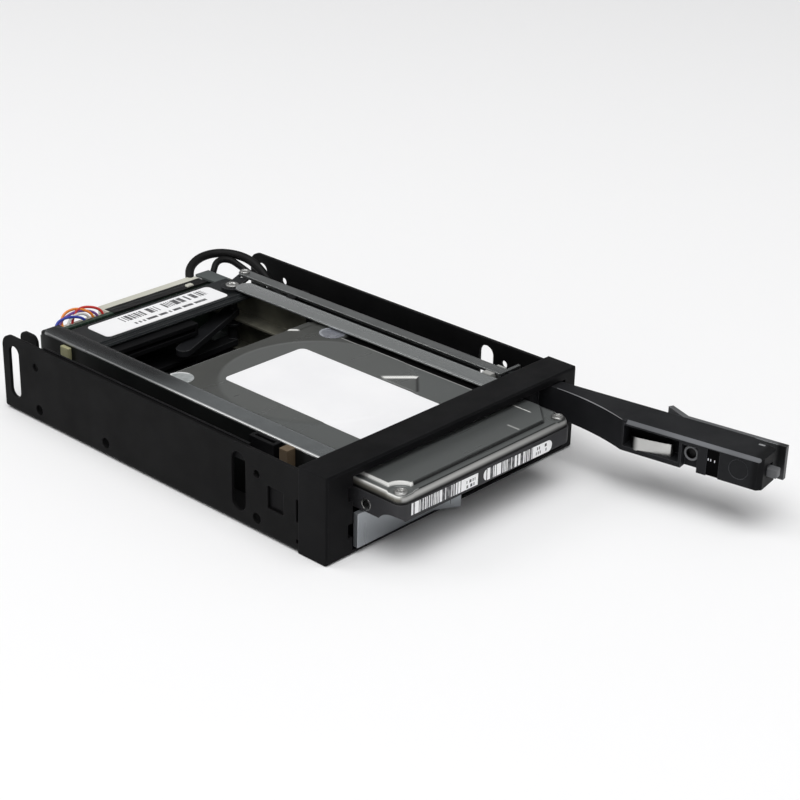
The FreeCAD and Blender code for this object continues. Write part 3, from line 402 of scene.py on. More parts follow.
# The same climb with its middle where the distance is nought.
def stepAt(distance, width):
    return ease(distance / width + 0.5)


# A bell: e to the minus square of the value over its width.
def bell(value, width):
    return np.exp(-(value / width) ** 2)


def boxMm(node):
    low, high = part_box(node)
    return np.array(low) / mm, np.array(high) / mm


# Distance inwards from the outline of a rectangle with round corners; outside it is negative.
def insideBy(x, y, left, right, front, rear, corner):
    acrossX = np.abs(x - (left + right) / 2.0) - (right - left) / 2.0 + corner
    acrossY = np.abs(y - (front + rear) / 2.0) - (rear - front) / 2.0 + corner
    outside = np.hypot(np.maximum(acrossX, 0.0), np.maximum(acrossY, 0.0))
    return corner - outside - np.minimum(np.maximum(acrossX, acrossY), 0.0)


# Steps across a span, fine near both ends and coarse between.
def gradedSteps(low, high, margin, fine, coarse):
    span = high - low
    near = np.arange(0.0, margin, fine)
    middle = np.linspace(margin, span - margin, int((span - 2.0 * margin) / coarse) + 1)
    return low + np.concatenate((near, middle, span - near[::-1]))


# Squeezes the square corners of a grid into round ones: a point at (u, v) in the corner's square keeps its
# direction and gets the length of the larger of u and v.
def roundCorners(x, y, left, right, front, rear, corner):
    midX = (left + right) / 2.0
    midY = (front + rear) / 2.0
    u = np.maximum(np.abs(x - midX) - (right - left) / 2.0 + corner, 0.0)
    v = np.maximum(np.abs(y - midY) - (rear - front) / 2.0 + corner, 0.0)
    both = (u > 0.0) & (v > 0.0)
    shrink = np.where(both, np.maximum(u, v) / np.maximum(np.hypot(u, v), 1e-9), 1.0)
    return x - np.sign(x - midX) * u * (1.0 - shrink), y - np.sign(y - midY) * v * (1.0 - shrink)


# A raised sheet over a grid: its top follows the heights, its border drops to a foot, and one face closes it
# below. A mouth lifts the foot along part of the rear border and sets its wall back.
def sheetOver(name, x, y, z, foot, sharpAngle=50.0, mouth=None):
    rows, columns = x.shape
    top = np.stack((x, y, z), axis=-1).reshape(-1, 3)
    place = np.arange(rows * columns).reshape(rows, columns)
    border = np.concatenate((place[0, :-1], place[:-1, -1], place[-1, :0:-1], place[:0:-1, 0]))
    under = top[border].copy()
    under[:, 2] = foot
    opened = np.zeros(len(border), bool)
    if mouth:
        opened = (under[:, 0] > mouth["left"]) & (under[:, 0] < mouth["right"])
        opened = opened & (under[:, 1] > mouth["front"])
        under[opened, 2] = mouth["top"]
    ceiling = under[opened].copy()
    if mouth:
        ceiling[:, 1] = mouth["front"]
    inner = ceiling.copy()
    inner[:, 2] = foot
    quads = np.stack((place[:-1, :-1], place[:-1, 1:], place[1:, 1:], place[1:, :-1]), axis=-1)
    low = rows * columns + np.arange(len(border))
    skirt = np.stack((border, low, np.roll(low, -1), np.roll(border, -1)), axis=-1)
    back = low.copy()
    back[opened] = low[-1] + 1 + np.arange(opened.sum())
    base = low.copy()
    base[opened] = low[-1] + 1 + opened.sum() + np.arange(opened.sum())
    nextLow, nextBack, nextBase = (np.roll(ring, -1) for ring in (low, back, base))
    nextOpened = np.roll(opened, -1)
    along = opened & nextOpened
    entry = ~opened & nextOpened
    leaving = opened & ~nextOpened
    walls = np.concatenate((
        np.stack((low, back, nextBack, nextLow), axis=-1)[along],
        np.stack((back, base, nextBase, nextBack), axis=-1)[along],
        np.stack((low, nextBase, nextBack, nextLow), axis=-1)[entry],
        np.stack((low, back, base, nextLow), axis=-1)[leaving],
    ))
    faces = np.concatenate((quads.reshape(-1, 4), skirt, walls)).tolist() + [base.tolist()]
    mesh = bpy.data.meshes.new(name)
    mesh.from_pydata((np.concatenate((top, under, ceiling, inner)) * mm).tolist(), [], faces)
    return smoothed(mesh, sharpAngle)


# Paints one number on each vertex of the grid; vertices added after the grid get the rest.
def giveTone(mesh, name, values, rest=0.0):
    padded = np.full(len(mesh.vertices), rest, np.float32)
    padded[: values.size] = values.ravel()
    mesh.attributes.new(name, "FLOAT", "POINT").data.foreach_set("value", padded)


# A rounded section in two half sizes: each coordinate is a cosine or sine raised to a low power.
def softSection(halfAcross, halfUp, power, count=24):
    turn = anglesRound(count)
    across = np.sign(np.cos(turn)) * np.abs(np.cos(turn)) ** power * halfAcross
    up = np.sign(np.sin(turn)) * np.abs(np.sin(turn)) ** power * halfUp
    return across, up


# A block with rounded edges: a soft section carried along the first axis, drawn in by a quarter round at
# each end.
def softBlock(low, high, rounding, power=0.16, steps=7, around=48):
    turn = np.linspace(0.0, np.pi / 2.0, steps)
    fromEnd = rounding * (1.0 - np.cos(turn))
    drawnIn = rounding * (1.0 - np.sin(turn))
    along = np.concatenate((low[0] + fromEnd, (high[0] - fromEnd)[::-1]))[:, None]
    drawnIn = np.concatenate((drawnIn, drawnIn[::-1]))[:, None]
    across, up = softSection(1.0, 1.0, power, around)
    second = (low[1] + high[1]) / 2.0 + across * ((high[1] - low[1]) / 2.0 - drawnIn)
    third = (low[2] + high[2]) / 2.0 + up * ((high[2] - low[2]) / 2.0 - drawnIn)
    return along, second, third


driveCover = {
    "rimRound": 2.6, "slope": 0.5, "slopeFoot": 0.55, "shelfDrop": 1.15, "lidDrop": 0.3, "step": 0.35,
    "lidSideIn": 2.6, "lidRightIn": 1.6, "lidFrontIn": 3.15, "lidRearIn": 1.8, "lidRound": 1.2,
    "lidChamfer": 6.8, "screwIn": 2.7, "notch": 4.3, "pocket": 3.4, "pocketDrop": 0.35, "pocketEdge": 0.6,
    "groove": 0.15, "grooveWide": 0.17, "channel": 24.1, "channelWide": 4.5, "channelDrop": 0.6,
    "channelFront": -58.0, "channelRear": 0.6, "channelEdges": (0.25, 0.3), "channelEnd": 0.6,
    "bulgeRadius": 28.4, "bulgeRise": 0.15, "bulgeEdge": 1.6, "bulgeRear": 34.6,
    "crestApex": (12.3, 52.8), "crestSpread": 1.05, "crestDrop": 0.45, "crestEdge": 0.7, "crestLeft": 10.4,
    "crestFade": 1.6, "rearStep": 32.1, "rearStepFront": 13.4, "rearStepRise": 0.2, "rearStepEdge": 0.6,
    "ticks": ((7.26, 8.55, 15.05), (18.0, 3.6, 8.1)), "tickWidth": 0.16, "tickRise": 0.12, "tickEnd": 0.3,
    "grid": (8.0, 0.15, 0.36), "sharp": 60.0,
}
coverMouth = {"left": -34.2, "right": 4.2, "front": 13.95, "top": 19.55, "over": 0.05, "beside": 0.3}
coverLow, coverHigh = boxMm("drive_cover")
driveTop = boxMm("drive_top_label")[1][2]
coverOutline = (coverLow[0], coverHigh[0], coverLow[1], coverHigh[1])


# Distances that shape the cover: in from its outline, in from the lid, which is cut round for the left
# screws and slanted at the right front one, and out from the nearest screw on each side.
def coverDistances(x, y):
    shape = driveCover
    left, right, front, rear = coverOutline
    fromRim = insideBy(x, y, left, right, front, rear, shape["rimRound"])
    lidLeft = left + shape["lidSideIn"]
    lidRight = right - shape["lidRightIn"]
    lidFront = front + shape["lidFrontIn"]
    fromLid = insideBy(x, y, lidLeft, lidRight, lidFront, rear - shape["lidRearIn"], shape["lidRound"])
    slanted = (lidRight - x + y - lidFront - shape["lidChamfer"]) / math.sqrt(2.0)
    fromEnd = np.minimum(np.abs(y - front - shape["screwIn"]), np.abs(rear - shape["screwIn"] - y))
    toLeft = np.hypot(x - left - shape["screwIn"], fromEnd)
    toRight = np.hypot(right - shape["screwIn"] - x, fromEnd)
    return fromRim, np.minimum(np.minimum(fromLid, slanted), toLeft - shape["notch"]), toLeft, toRight


# Distance into the sunk wedge beside the label, and how far back from its apex a point is.
def coverWedge(x, y):
    shape = driveCover
    apexX = coverHigh[0] - shape["crestApex"][0]
    apexY = coverHigh[1] - shape["crestApex"][1]
    widening = shape["crestSpread"]
    inWedge = (apexX - x - np.abs(y - apexY) * widening) / math.hypot(1.0, widening)
    return inWedge, y - apexY


# Distance into the raised rear corner, which a slanted line and a straight one bound.
def coverCorner(x, y):
    slanted = (x + y - driveCover["rearStep"]) / math.sqrt(2.0)
    return np.minimum(slanted, y - driveCover["rearStepFront"])


# One on the round bulge over the discs, and nought off it.
def onBulge(x, y):
    shape = driveCover
    fromSpindle = np.hypot(x - (coverLow[0] + coverHigh[0]) / 2.0, y - coverHigh[1] + shape["bulgeRear"])
    return stepAt(shape["bulgeRadius"] - fromSpindle, shape["bulgeEdge"])


# The channel is a sunk strip along the lid's right side, under the rail: an eased step at each end of its
# length, times one at each side of its width.
def alongChannel(y):
    shape = driveCover
    toRear = ease((shape["channelRear"] - y) / shape["channelEnd"])
    return toRear * ease((y - shape["channelFront"]) / shape["channelEnd"])


def inChannel(x, y):
    leftEdge, rightEdge = driveCover["channelEdges"]
    fromLeft = x - driveCover["channel"]
    across = stepAt(fromLeft, leftEdge) * stepAt(driveCover["channelWide"] - fromLeft, rightEdge)
    return across * alongChannel(y)


# Two thin ribs: each is a bell across x, eased in and out along y.
def coverTicks(x, y):
    shape = driveCover
    marks = np.zeros_like(x)
    fromFront = y - coverLow[1]
    for fromRight, start, stop in shape["ticks"]:
        along = ease((fromFront - start) / shape["tickEnd"]) * ease((stop - fromFront) / shape["tickEnd"])
        marks = np.maximum(marks, along * bell(x - coverHigh[0] + fromRight, shape["tickWidth"]))
    return marks


# Height of the cover: the mean of a straight slope and a quarter ellipse up the rim to a shelf, an eased
# step up to the lid, a groove beside the rim and the lid, round pockets for the screws, a low bulge over the
# discs, a sunk wedge by the label, a raised rear corner, two ribs and a channel.
def coverHeight(x, y):
    shape = driveCover
    fromRim, fromLid, toLeft, toRight = coverDistances(x, y)
    climb = np.clip(fromRim / shape["slope"], 0.0, 1.0)
    foot = coverLow[2] + shape["slopeFoot"]
    shelf = driveTop - shape["shelfDrop"]
    rise = 0.5 * climb + 0.5 * np.sqrt(1.0 - (1.0 - climb) ** 2)
    z = foot + (shelf - foot) * rise
    onLid = stepAt(fromLid, shape["step"])
    z = z + (driveTop - shape["lidDrop"] - shelf) * onLid
    z = z - shape["groove"] * bell(fromRim - shape["slope"] - shape["grooveWide"], shape["grooveWide"])
    z = z - shape["groove"] * bell(fromLid + shape["step"], shape["grooveWide"])
    inPocket = shape["pocket"] - np.minimum(toLeft, toRight)
    z = z - rise * shape["pocketDrop"] * stepAt(inPocket, shape["pocketEdge"])
    z = z + onLid * shape["bulgeRise"] * onBulge(x, y)
    inWedge = stepAt(coverWedge(x, y)[0], shape["crestEdge"])
    z = z - shape["crestDrop"] * inWedge * ease((x - shape["crestLeft"]) / shape["crestFade"])
    z = z + onLid * shape["rearStepRise"] * stepAt(coverCorner(x, y), shape["rearStepEdge"])
    return z + shape["tickRise"] * coverTicks(x, y) - onLid * shape["channelDrop"] * inChannel(x, y)


coverMarks = {
    "paintedLightFrom": 14.0, "paintedLightOver": 45.0, "leftTurn": 1.5, "ringOut": 1.0, "ringEdge": 0.5, "ringIn": 0.2,
    "rimOver": 0.05, "rimEdge": 0.15, "rimFoot": 0.03, "rimLine": 0.22, "rimGleam": 0.24,
    "lidLine": 0.24, "lidLineOut": 0.1, "lidGleam": 0.2, "steep": 0.5,
    "wedgeWide": 0.4, "wedgeIn": 1.0, "wedgeFade": 1.0,
    "cornerWide": 0.35, "cornerOut": 1.2, "cornerEdge": 0.4, "cornerRight": 18.9,
    "channelOut": 0.25, "channelWide": 0.2, "channelShare": 0.55,
}
coverSteel = {
    "tones": ((0.06, 0.0625, 0.057), (0.073, 0.075, 0.069)), "rough": (0.26, 0.36), "metal": 0.4,
    "shine": 0.3, "stretch": (0.15, 1.0, 1.0), "grainScale": 2200.0, "grainDepth": 0.003, "edge": 0.15,
}
# Tones of the cover's painted light: lighter front, sheen on the bulge, reflections on rim and flank, shade,
# highlights.
coverPaintedLight = {
    "front": (0.12, 0.128, 0.126), "bulgeSheen": (0.122, 0.128, 0.124), "rim": (0.42, 0.42, 0.41),
    "flankDarkReflection": (0.075, 0.066, 0.042), "line": (0.006, 0.006, 0.006), "gleam": (0.95, 0.95, 0.92),
}


# The cover's tones are all painted light: paler towards the front and over the bulge, a bright painted
# reflection on the rim and a dark one on its left flank, painted highlights on the edges that face left or
# ring the left screws, painted shade along the others, and black painted shade in the channel and under the
# rim.
def coverTones(x, y, steep):
    shape = driveCover
    mark = coverMarks
    left, right, front = coverOutline[:3]
    fromRim, fromLid, toLeft = coverDistances(x, y)[:3]
    inWedge, pastApex = coverWedge(x, y)
    pastSlope = fromRim - shape["slope"]
    leftSide = stepAt(y - front - x + left, mark["leftTurn"]) * (x < (left + right) / 2.0)
    byScrew = ease((shape["notch"] + mark["ringOut"] - toLeft) / mark["ringEdge"])
    highlighted = np.maximum(leftSide, byScrew * (pastSlope > mark["ringIn"]))
    onRim = ease((mark["rimOver"] - pastSlope) / mark["rimEdge"])
    wedgeIn = ease((x - shape["crestLeft"] - mark["wedgeIn"]) / mark["wedgeFade"])
    byWedge = bell(inWedge, mark["wedgeWide"]) * wedgeIn
    cornerEnds = ease((fromLid + mark["cornerOut"]) / mark["cornerEdge"])
    cornerEnds = cornerEnds * ease((mark["cornerRight"] - x) / mark["cornerEdge"])
    byCorner = bell(coverCorner(x, y), mark["cornerWide"]) * cornerEnds
    paintedShadeLines = bell(pastSlope - shape["grooveWide"], mark["rimLine"])
    paintedShadeLines = paintedShadeLines + bell(fromLid + mark["lidLineOut"], mark["lidLine"])
    paintedShadeLines = paintedShadeLines * (1.0 - highlighted) + byWedge * (pastApex < 0.0) + (fromRim < mark["rimFoot"])
    edges = bell(fromLid, mark["lidGleam"]) * steep + bell(pastSlope, mark["rimGleam"])
    gleam = edges * highlighted + byWedge * (pastApex >= 0.0) + byCorner + coverTicks(x, y)
    byChannel = bell(x - shape["channel"] + mark["channelOut"], mark["channelWide"]) * alongChannel(y)
    return {
        "front": ease((mark["paintedLightFrom"] - y) / mark["paintedLightOver"]),
        "bulgeSheen": onBulge(x, y),
        "rim": onRim * (1.0 - leftSide),
        "flankDarkReflection": onRim * leftSide,
        "line": np.clip(paintedShadeLines + inChannel(x, y), 0.0, 1.0),
        "gleam": np.clip(gleam + mark["channelShare"] * byChannel, 0.0, 1.0),
    }


# The cover is a sheet whose height over each point of a round-cornered grid is the one above, with the mouth
# for the plug at its rear. Its marks are painted light and shade, and its painted highlights are not
# metallic.
def makeDriveCover():
    left, right, front, rear = coverOutline
    alongX = gradedSteps(left, right, *driveCover["grid"])
    alongY = gradedSteps(front, rear, *driveCover["grid"])
    x, y = np.meshgrid(alongX, alongY)
    x, y = roundCorners(x, y, left, right, front, rear, driveCover["rimRound"])
    z = coverHeight(x, y)
    mouth = coverMouth
    overMouth = (x > mouth["left"] - mouth["beside"]) & (x < mouth["right"] + mouth["beside"])
    z = np.where(overMouth & (y > mouth["front"]), np.maximum(z, mouth["top"] + mouth["over"]), z)
    mesh = sheetOver("driveCover", x, y, z, coverLow[2], driveCover["sharp"], mouth)
    slopeY, slopeX = np.gradient(z, alongY, alongX)
    # Vertices off the grid get full painted shade (line) and none of the other marks.
    for mark, values in coverTones(x, y, ease(np.hypot(slopeX, slopeY) / coverMarks["steep"])).items():
        giveTone(mesh, mark, values, 1.0 if mark == "line" else 0.0)
    finish = paintedFinish("coverSteel", coverSteel, coverPaintedLight)
    tree = finish.node_tree
    metal = spread(tree, readTone(tree, "gleam"), 0.0, 1.0, coverSteel["metal"], 0.0)
    tree.links.new(metal, tree.nodes["Principled BSDF"].inputs["Metallic"])
    addPiece("driveCover", mesh, finish, "drive", "drive_cover", "drive_cover")


makeDriveCover()

topLabel = {"corner": 2.0, "sheet": 0.07, "grid": (3.0, 0.2, 0.5)}
labelFilm = {
    "tones": ((0.87, 0.87, 0.885), (0.91, 0.91, 0.92)), "rough": (0.34, 0.46), "shine": 0.3,
    "driftScale": 35.0, "grainScale": 900.0, "grainDepth": 0.01, "edge": 0.1,
}


# The label lies on the cover and follows it over the edge of the bulge.
def makeTopLabel():
    low, high = boxMm("drive_top_label")
    alongX, alongY = (gradedSteps(low[axis], high[axis], *topLabel["grid"]) for axis in range(2))
    x, y = np.meshgrid(alongX, alongY)
    x, y = roundCorners(x, y, low[0], high[0], low[1], high[1], topLabel["corner"])
    z = coverHeight(x, y) + topLabel["sheet"]
    mesh = sheetOver("topLabel", x, y, z, driveTop - driveCover["lidDrop"])
    addPiece("topLabel", mesh, plainFinish("topLabelFilm", labelFilm), "drive", "label", "drive_top_label")


makeTopLabel()

foilDiscs = {
    "radius": 4.1, "sheet": 0.06, "rim": 0.1, "rimAt": 0.93, "rimWide": 0.06, "wrinkle": 0.05,
    "waveShare": 0.4, "waves": ((1.9, 0.7, 0.0, 1.0), (-1.1, 2.3, 1.0, 1.0), (4.1, 3.3, 0.0, 0.6)),
    "gleamFrom": 0.8, "gleamOver": 0.06, "gleamTurn": 0.1, "gleamFade": 0.3, "around": 72, "rings": 26,
    "innermost": 0.02,
}
# Both foils are one foil, painted as a lighter lit copy on the left and a darker shaded copy on the right;
# edge is the painted highlight's tone.
foilSides = {
    "left": {"place": (7.3, 6.1), "edge": (0.97, 0.98, 0.98), "replaces": ("drive_discs",),
        "tones": ((0.44, 0.47, 0.47), (0.62, 0.65, 0.65))},
    "right": {"place": (62.35, 12.9), "edge": (0.5, 0.52, 0.57), "replaces": (),
        "tones": ((0.24, 0.25, 0.29), (0.32, 0.33, 0.37))},
}
foilSilver = {
    "edgeWearAndSheen": (0.9, 0.9, 0.9), "rough": (0.2, 0.36), "metal": 0.6, "driftScale": 420.0, "grainScale": 420.0,
    "grainDepth": 0.06, "bump": 0.6, "edge": 0.1,
}


# A foil is a disc over the cover, creased by a few crossing sine waves that grow towards its turned-up edge;
# its rear edge carries a painted highlight.
def makeFoil(side, own):
    foil = foilDiscs
    turn = anglesRound(foil["around"])[None, :]
    part = np.concatenate((np.linspace(foil["innermost"], 1.0, foil["rings"]), (1.0,)))[:, None]
    fromLeft, fromRear = own["place"]
    x = coverLow[0] + fromLeft + foil["radius"] * part * np.cos(turn)
    y = coverHigh[1] - fromRear + foil["radius"] * part * np.sin(turn)
    waves = sum(size * np.sin(turnX * x + turnY * y + shift) for turnX, turnY, shift, size in foil["waves"])
    z = coverHeight(x, y) + foil["sheet"] + foil["wrinkle"] * part * (1.0 + foil["waveShare"] * waves)
    z = z + foil["rim"] * bell(part - foil["rimAt"], foil["rimWide"])
    z[-1] = coverHeight(x[-1], y[-1]) - foil["wrinkle"]
    mesh = skinMesh(side + "Foil", pointsOf(x, y, z))
    toRear = ease((np.sin(turn) + foil["gleamTurn"]) / foil["gleamFade"])
    giveTone(mesh, "gleam", ease((part - foil["gleamFrom"]) / foil["gleamOver"]) * toRear)
    look = dict(foilSilver, tones=own["tones"])
    finish = paintedFinish(side + "FoilSilver", look, {"gleam": own["edge"]})
    addPiece(side + "Foil", mesh, finish, "drive", "disc_foil", *own["replaces"])


for foilSide, foilOwn in foilSides.items():
    makeFoil(foilSide, foilOwn)
print("drive cover stamped")

screwHead = {
    "coverRadius": 1.75, "inset": 1.9, "sunk": 0.2, "lobes": 6, "lobeDepth": 0.18, "recess": 0.46,
    "recessDepth": 0.45, "recessEdge": 0.09, "crown": 0.16, "edgeFrom": 0.88, "edgeDrop": 0.2,
    "around": 72, "innermost": 0.03, "flatTo": 0.9, "flatRings": 24, "edgeTurn": 1.13, "edgeRings": 8,
}
screwSteel = {
    "tones": ((0.34, 0.34, 0.33), (0.46, 0.46, 0.45)), "edgeWearAndSheen": (0.85, 0.85, 0.83), "rough": (0.22, 0.36),
    "metal": 1.0, "grainScale": 1500.0, "grainDepth": 0.012, "edge": 0.2,
}
screwFinish = plainFinish("screwSteel", screwSteel)


# A screw head turned about its axis: a flat crown that rounds over at the edge, with a lobed recess whose
# edge lies at r = r0 (1 + a cos(lobes x angle)), and a straight side down to its seat.
def screwSkin(name, x, y, seat, top, radius):
    head = screwHead
    high = top - seat
    turn = anglesRound(head["around"])[None, :]
    flatPart = np.linspace(head["innermost"], head["flatTo"], head["flatRings"])
    edgePart = np.sin(np.linspace(head["edgeTurn"], np.pi / 2.0, head["edgeRings"]))
    part = np.concatenate((flatPart, edgePart))[:, None]
    lobe = head["recess"] * (1.0 + head["lobeDepth"] * np.cos(head["lobes"] * turn))
    sunk = stepAt(lobe - part, head["recessEdge"]) * head["recessDepth"]
    edge = ease((part - head["edgeFrom"]) / (1.0 - head["edgeFrom"])) * head["edgeDrop"]
    z = top - high * (head["crown"] * part ** 2 + edge + sunk)
    reach = np.concatenate((part, part[-1:])) * radius
    z = np.concatenate((z, np.full((1, turn.size), seat)))
    return skinMesh(name, pointsOf(x + reach * np.cos(turn), y + reach * np.sin(turn), z))


# Four heads in the cover's corners, and one on each screw of the ejectors.
def makeScrews():
    low, high = boxMm("drive_screws")
    left, front = low[:2] + screwHead["inset"]
    right, rear = high[:2] - screwHead["inset"]
    for count, (x, y) in enumerate(((left, front), (right, front), (left, rear), (right, rear))):
        name = "coverScrew" + str(count + 1)
        replaced = ("drive_screws",) if count == 0 else ()
        mesh = screwSkin(name, x, y, low[2] - screwHead["sunk"], high[2], screwHead["coverRadius"])
        addPiece(name, mesh, screwFinish, "drive", "steel", *replaced)
    for side, link in (("upper", "lever"), ("upper", "rod"), ("lower", "rod")):
        body = side + "_" + link
        low, high = boxMm(body + "_screw")
        middle = (low + high) / 2.0
        name = side + link.capitalize() + "Screw"
        mesh = screwSkin(name, middle[0], middle[1], low[2], high[2], (high[0] - low[0]) / 2.0)
        addPiece(name, mesh, screwFinish, body, "steel", body + "_screw")


makeScrews()
print("screws set")

barLabels = {
    "drive_label_left": {"down": 2, "bars": (-33.6, -14.2), "rows": (12.0, 19.0), "unit": 0.3,
        "notes": ((-12.9, -9.4, 14.2, 15.1), (-12.9, -9.4, 15.6, 16.5)), "noteUnit": 0.42},
    "drive_label_right": {"down": 2, "bars": (-4.9, 14.6), "rows": (12.0, 19.0), "unit": 0.3,
        "notes": ((16.0, 20.6, 13.9, 14.8), (16.0, 20.6, 15.3, 16.2)), "noteUnit": 0.42},
    "crossbar_label": {"down": 1, "bars": (-16.0, 18.6), "rows": (54.6, 58.5), "unit": 0.42,
        "notes": ((-14.3, 15.4, 51.0, 52.4),), "noteUnit": 0.8},
}
barInk = {
    "tone": (0.03, 0.03, 0.035), "share": 0.5, "seed": 7.0, "noteShare": 0.62, "noteSeed": 31.0,
    "wearScale": 900.0, "wearBand": (0.3, 0.6), "cover": (0.75, 0.97),
}


# Generic stripes: x is cut into equal cells, and a random number per cell makes it ink or bare film.
def stripes(tree, along, unit, share, seed):
    cell = calc(tree, "ADD", calc(tree, "FLOOR", calc(tree, "DIVIDE", along, unit)), seed)
    chance = addNode(tree, "ShaderNodeTexWhiteNoise", {"W": cell}, noise_dimensions="1D")
    return calc(tree, "LESS_THAN", chance.outputs["Value"], share)


# A label's ink: one wide band of stripes and a few narrow rows of them, each inside its own rectangle.
def printLabel(node, marks):
    ink = barInk
    finish, tree, shader, place, colour = startFinish(node.title().replace("_", ""), labelFilm)
    axes = inMillimetres(tree, place)
    along = axes[0]
    down = axes[marks["down"]]
    inked = calc(tree, "MULTIPLY", within(tree, along, *marks["bars"]), within(tree, down, *marks["rows"]))
    inked = calc(tree, "MULTIPLY", inked, stripes(tree, along, marks["unit"], ink["share"], ink["seed"]))
    for index, (left, right, low, top) in enumerate(marks["notes"]):
        row = calc(tree, "MULTIPLY", within(tree, along, left, right), within(tree, down, low, top))
        cells = stripes(tree, along, marks["noteUnit"], ink["noteShare"], ink["noteSeed"] + index)
        inked = calc(tree, "MAXIMUM", inked, calc(tree, "MULTIPLY", row, cells))
    worn = spread(tree, mottle(tree, place, ink["wearScale"]), *ink["wearBand"], *ink["cover"])
    colour = blendTone(tree, calc(tree, "MULTIPLY", inked, worn), colour, tone(ink["tone"]))
    tree.links.new(colour, shader.inputs["Base Color"])
    dress(finish, node)


for labelNode, labelMarks in barLabels.items():
    printLabel(labelNode, labelMarks)
print("labels printed")

doorTurns = {"upper": 98.5, "lower": 0.0}    # degrees from shut, as the doors rest
hinges = {joint["name"]: np.array(joint["pos_m"]) / mm for joint in frame["joints"] if "pos_m" in joint}
doorEndShade = {"frameFrom": 72.6, "handleFrom": 74.2, "over": 1.2, "most": 0.8, "tone": (0.004, 0.004, 0.0045)}
doorMoulding = {
    "tones": ((0.0125, 0.013, 0.0145), (0.018, 0.0185, 0.02)), "edgeWearAndSheen": (0.13, 0.135, 0.145),
    "edgeWearAndSheenAmount": 0.8, "rough": (0.4, 0.52), "shine": 0.06, "grainScale": 2300.0, "grainDepth": 0.015,
}
handleGrey = {
    "tones": ((0.17, 0.175, 0.18), (0.22, 0.226, 0.235)), "edgeWearAndSheen": (0.5, 0.51, 0.53), "rough": (0.26, 0.4),
    "metal": 0.75, "grainScale": 2100.0, "grainDepth": 0.012,
}


# The doors' free ends are darker with painted shade, as in the recess there: s is the distance from the
# hinge along the door, as the piece is drawn at rest.
def endDarkened(side, name, look, darkFrom):
    finish, tree, shader, place, colour = startFinish(name, look)
    turn = math.radians(doorTurns[side])
    hinge = tuple(hinges[side + "_door_hinge"] * mm)
    fromHinge = vectorCalc(tree, "SUBTRACT", place, hinge)[0]
    alongDoor = (-math.cos(turn), -math.sin(turn), 0.0)
    s = vectorCalc(tree, "DOT_PRODUCT", fromHinge, alongDoor)["Value"]
    paintedShade = spread(tree, s, darkFrom * mm, (darkFrom + doorEndShade["over"]) * mm, 0.0, doorEndShade["most"])
    tree.links.new(blendTone(tree, paintedShade, colour, tone(doorEndShade["tone"])), shader.inputs["Base Color"])
    return finish


for doorSide in doorTurns:
    doorFinish = endDarkened(doorSide, doorSide + "DoorMoulding", doorMoulding, doorEndShade["frameFrom"])
    dress(doorFinish, doorSide + "_door_frame")
dress(endDarkened("upper", "upperHandleGrey", handleGrey, doorEndShade["handleFrom"]), "upper_handle")


# A point of a door: s runs from the hinge to the free end, h from the outer to the inner face, and the whole
# is turned about the hinge by the angle at which the door rests.
def onDoor(side, s, h, z):
    turn = math.radians(doorTurns[side])
    hinge = hinges[side + "_door_hinge"]
    x = hinge[0] - math.cos(turn) * s - math.sin(turn) * h
    y = hinge[1] - math.sin(turn) * s + math.cos(turn) * h
    return pointsOf(x, y, z)


def middleHeight(node):
    low, high = boxMm(node)
    return (low[2] + high[2]) / 2.0


def doorTop(side):
    return boxMm(side + "_door_frame")[1][2]


doorLeaf = {
    "start": 34.75, "length": 14.3, "deep": 1.6, "crown": 5.8, "rise": 0.26, "ahead": 0.1, "fall": 2.0,
    "fallPower": 1.4, "width": 4.0, "rootWidth": 0.6, "lower": 1.5, "sheet": 0.32, "softness": 0.3,
    "curl": 0.9, "curlFrom": 0.93, "curlBack": 0.5, "rootShadeTone": (0.03, 0.03, 0.03), "rootEnd": 0.34,
    "rootFade": 0.16, "steps": 90, "sharp": 40.0,
}
leafSteel = {
    "tones": ((0.5, 0.5, 0.49), (0.62, 0.62, 0.6)), "edgeWearAndSheen": (0.8, 0.8, 0.78), "rough": (0.3, 0.42),
    "metal": 1.0, "stretch": (0.1, 0.1, 1.0), "grainScale": 2400.0, "grainDepth": 0.01, "edge": 0.15,
}


# The leaf is a strip carried along its side view: an eased climb out of the pocket to a crown, a long fall
# back towards the tip and a curl there, with its section a thin rectangle with rounded edges.
def makeLeaf(side):
    leaf = doorLeaf
    part = np.linspace(0.0, 1.0, leaf["steps"])[:, None]
    curl = ease((part - leaf["curlFrom"]) / (1.0 - leaf["curlFrom"])) ** 2
    s = leaf["start"] + leaf["length"] * part - leaf["curlBack"] * curl
    climb = ease(part / leaf["rise"] + leaf["ahead"])
    pastCrown = np.clip((part - leaf["rise"]) / (1.0 - leaf["rise"]), 0.0, 1.0)
    fall = leaf["fall"] * pastCrown ** leaf["fallPower"]
    h = leaf["deep"] + (leaf["crown"] - leaf["deep"]) * climb - fall - leaf["curl"] * curl
    alongS = np.gradient(s, axis=0)
    alongH = np.gradient(h, axis=0)
    length = np.hypot(alongS, alongH)
    wide, thick = softSection(leaf["width"] / 2.0, leaf["sheet"] / 2.0, leaf["softness"])
    narrow = leaf["rootWidth"] + (1.0 - leaf["rootWidth"]) * ease(part / leaf["rise"])
    gridS = s - alongH / length * thick
    gridH = h + alongS / length * thick
    gridZ = middleHeight(side + "_leaf_spring") - leaf["lower"] + narrow * wide
    mesh = skinMesh(side + "Leaf", onDoor(side, gridS, gridH, gridZ), leaf["sharp"])
    # Where the leaf comes out of the pocket it is painted dark: painted shade of the pocket.
    giveTone(mesh, "rootShade", np.broadcast_to(ease((leaf["rootEnd"] - part) / leaf["rootFade"]), gridS.shape))
    finish = paintedFinish(side + "LeafSteel", leafSteel, {"rootShade": leaf["rootShadeTone"]})
    addPiece(side + "Leaf", mesh, finish, side + "_door", "steel", side + "_leaf_spring")


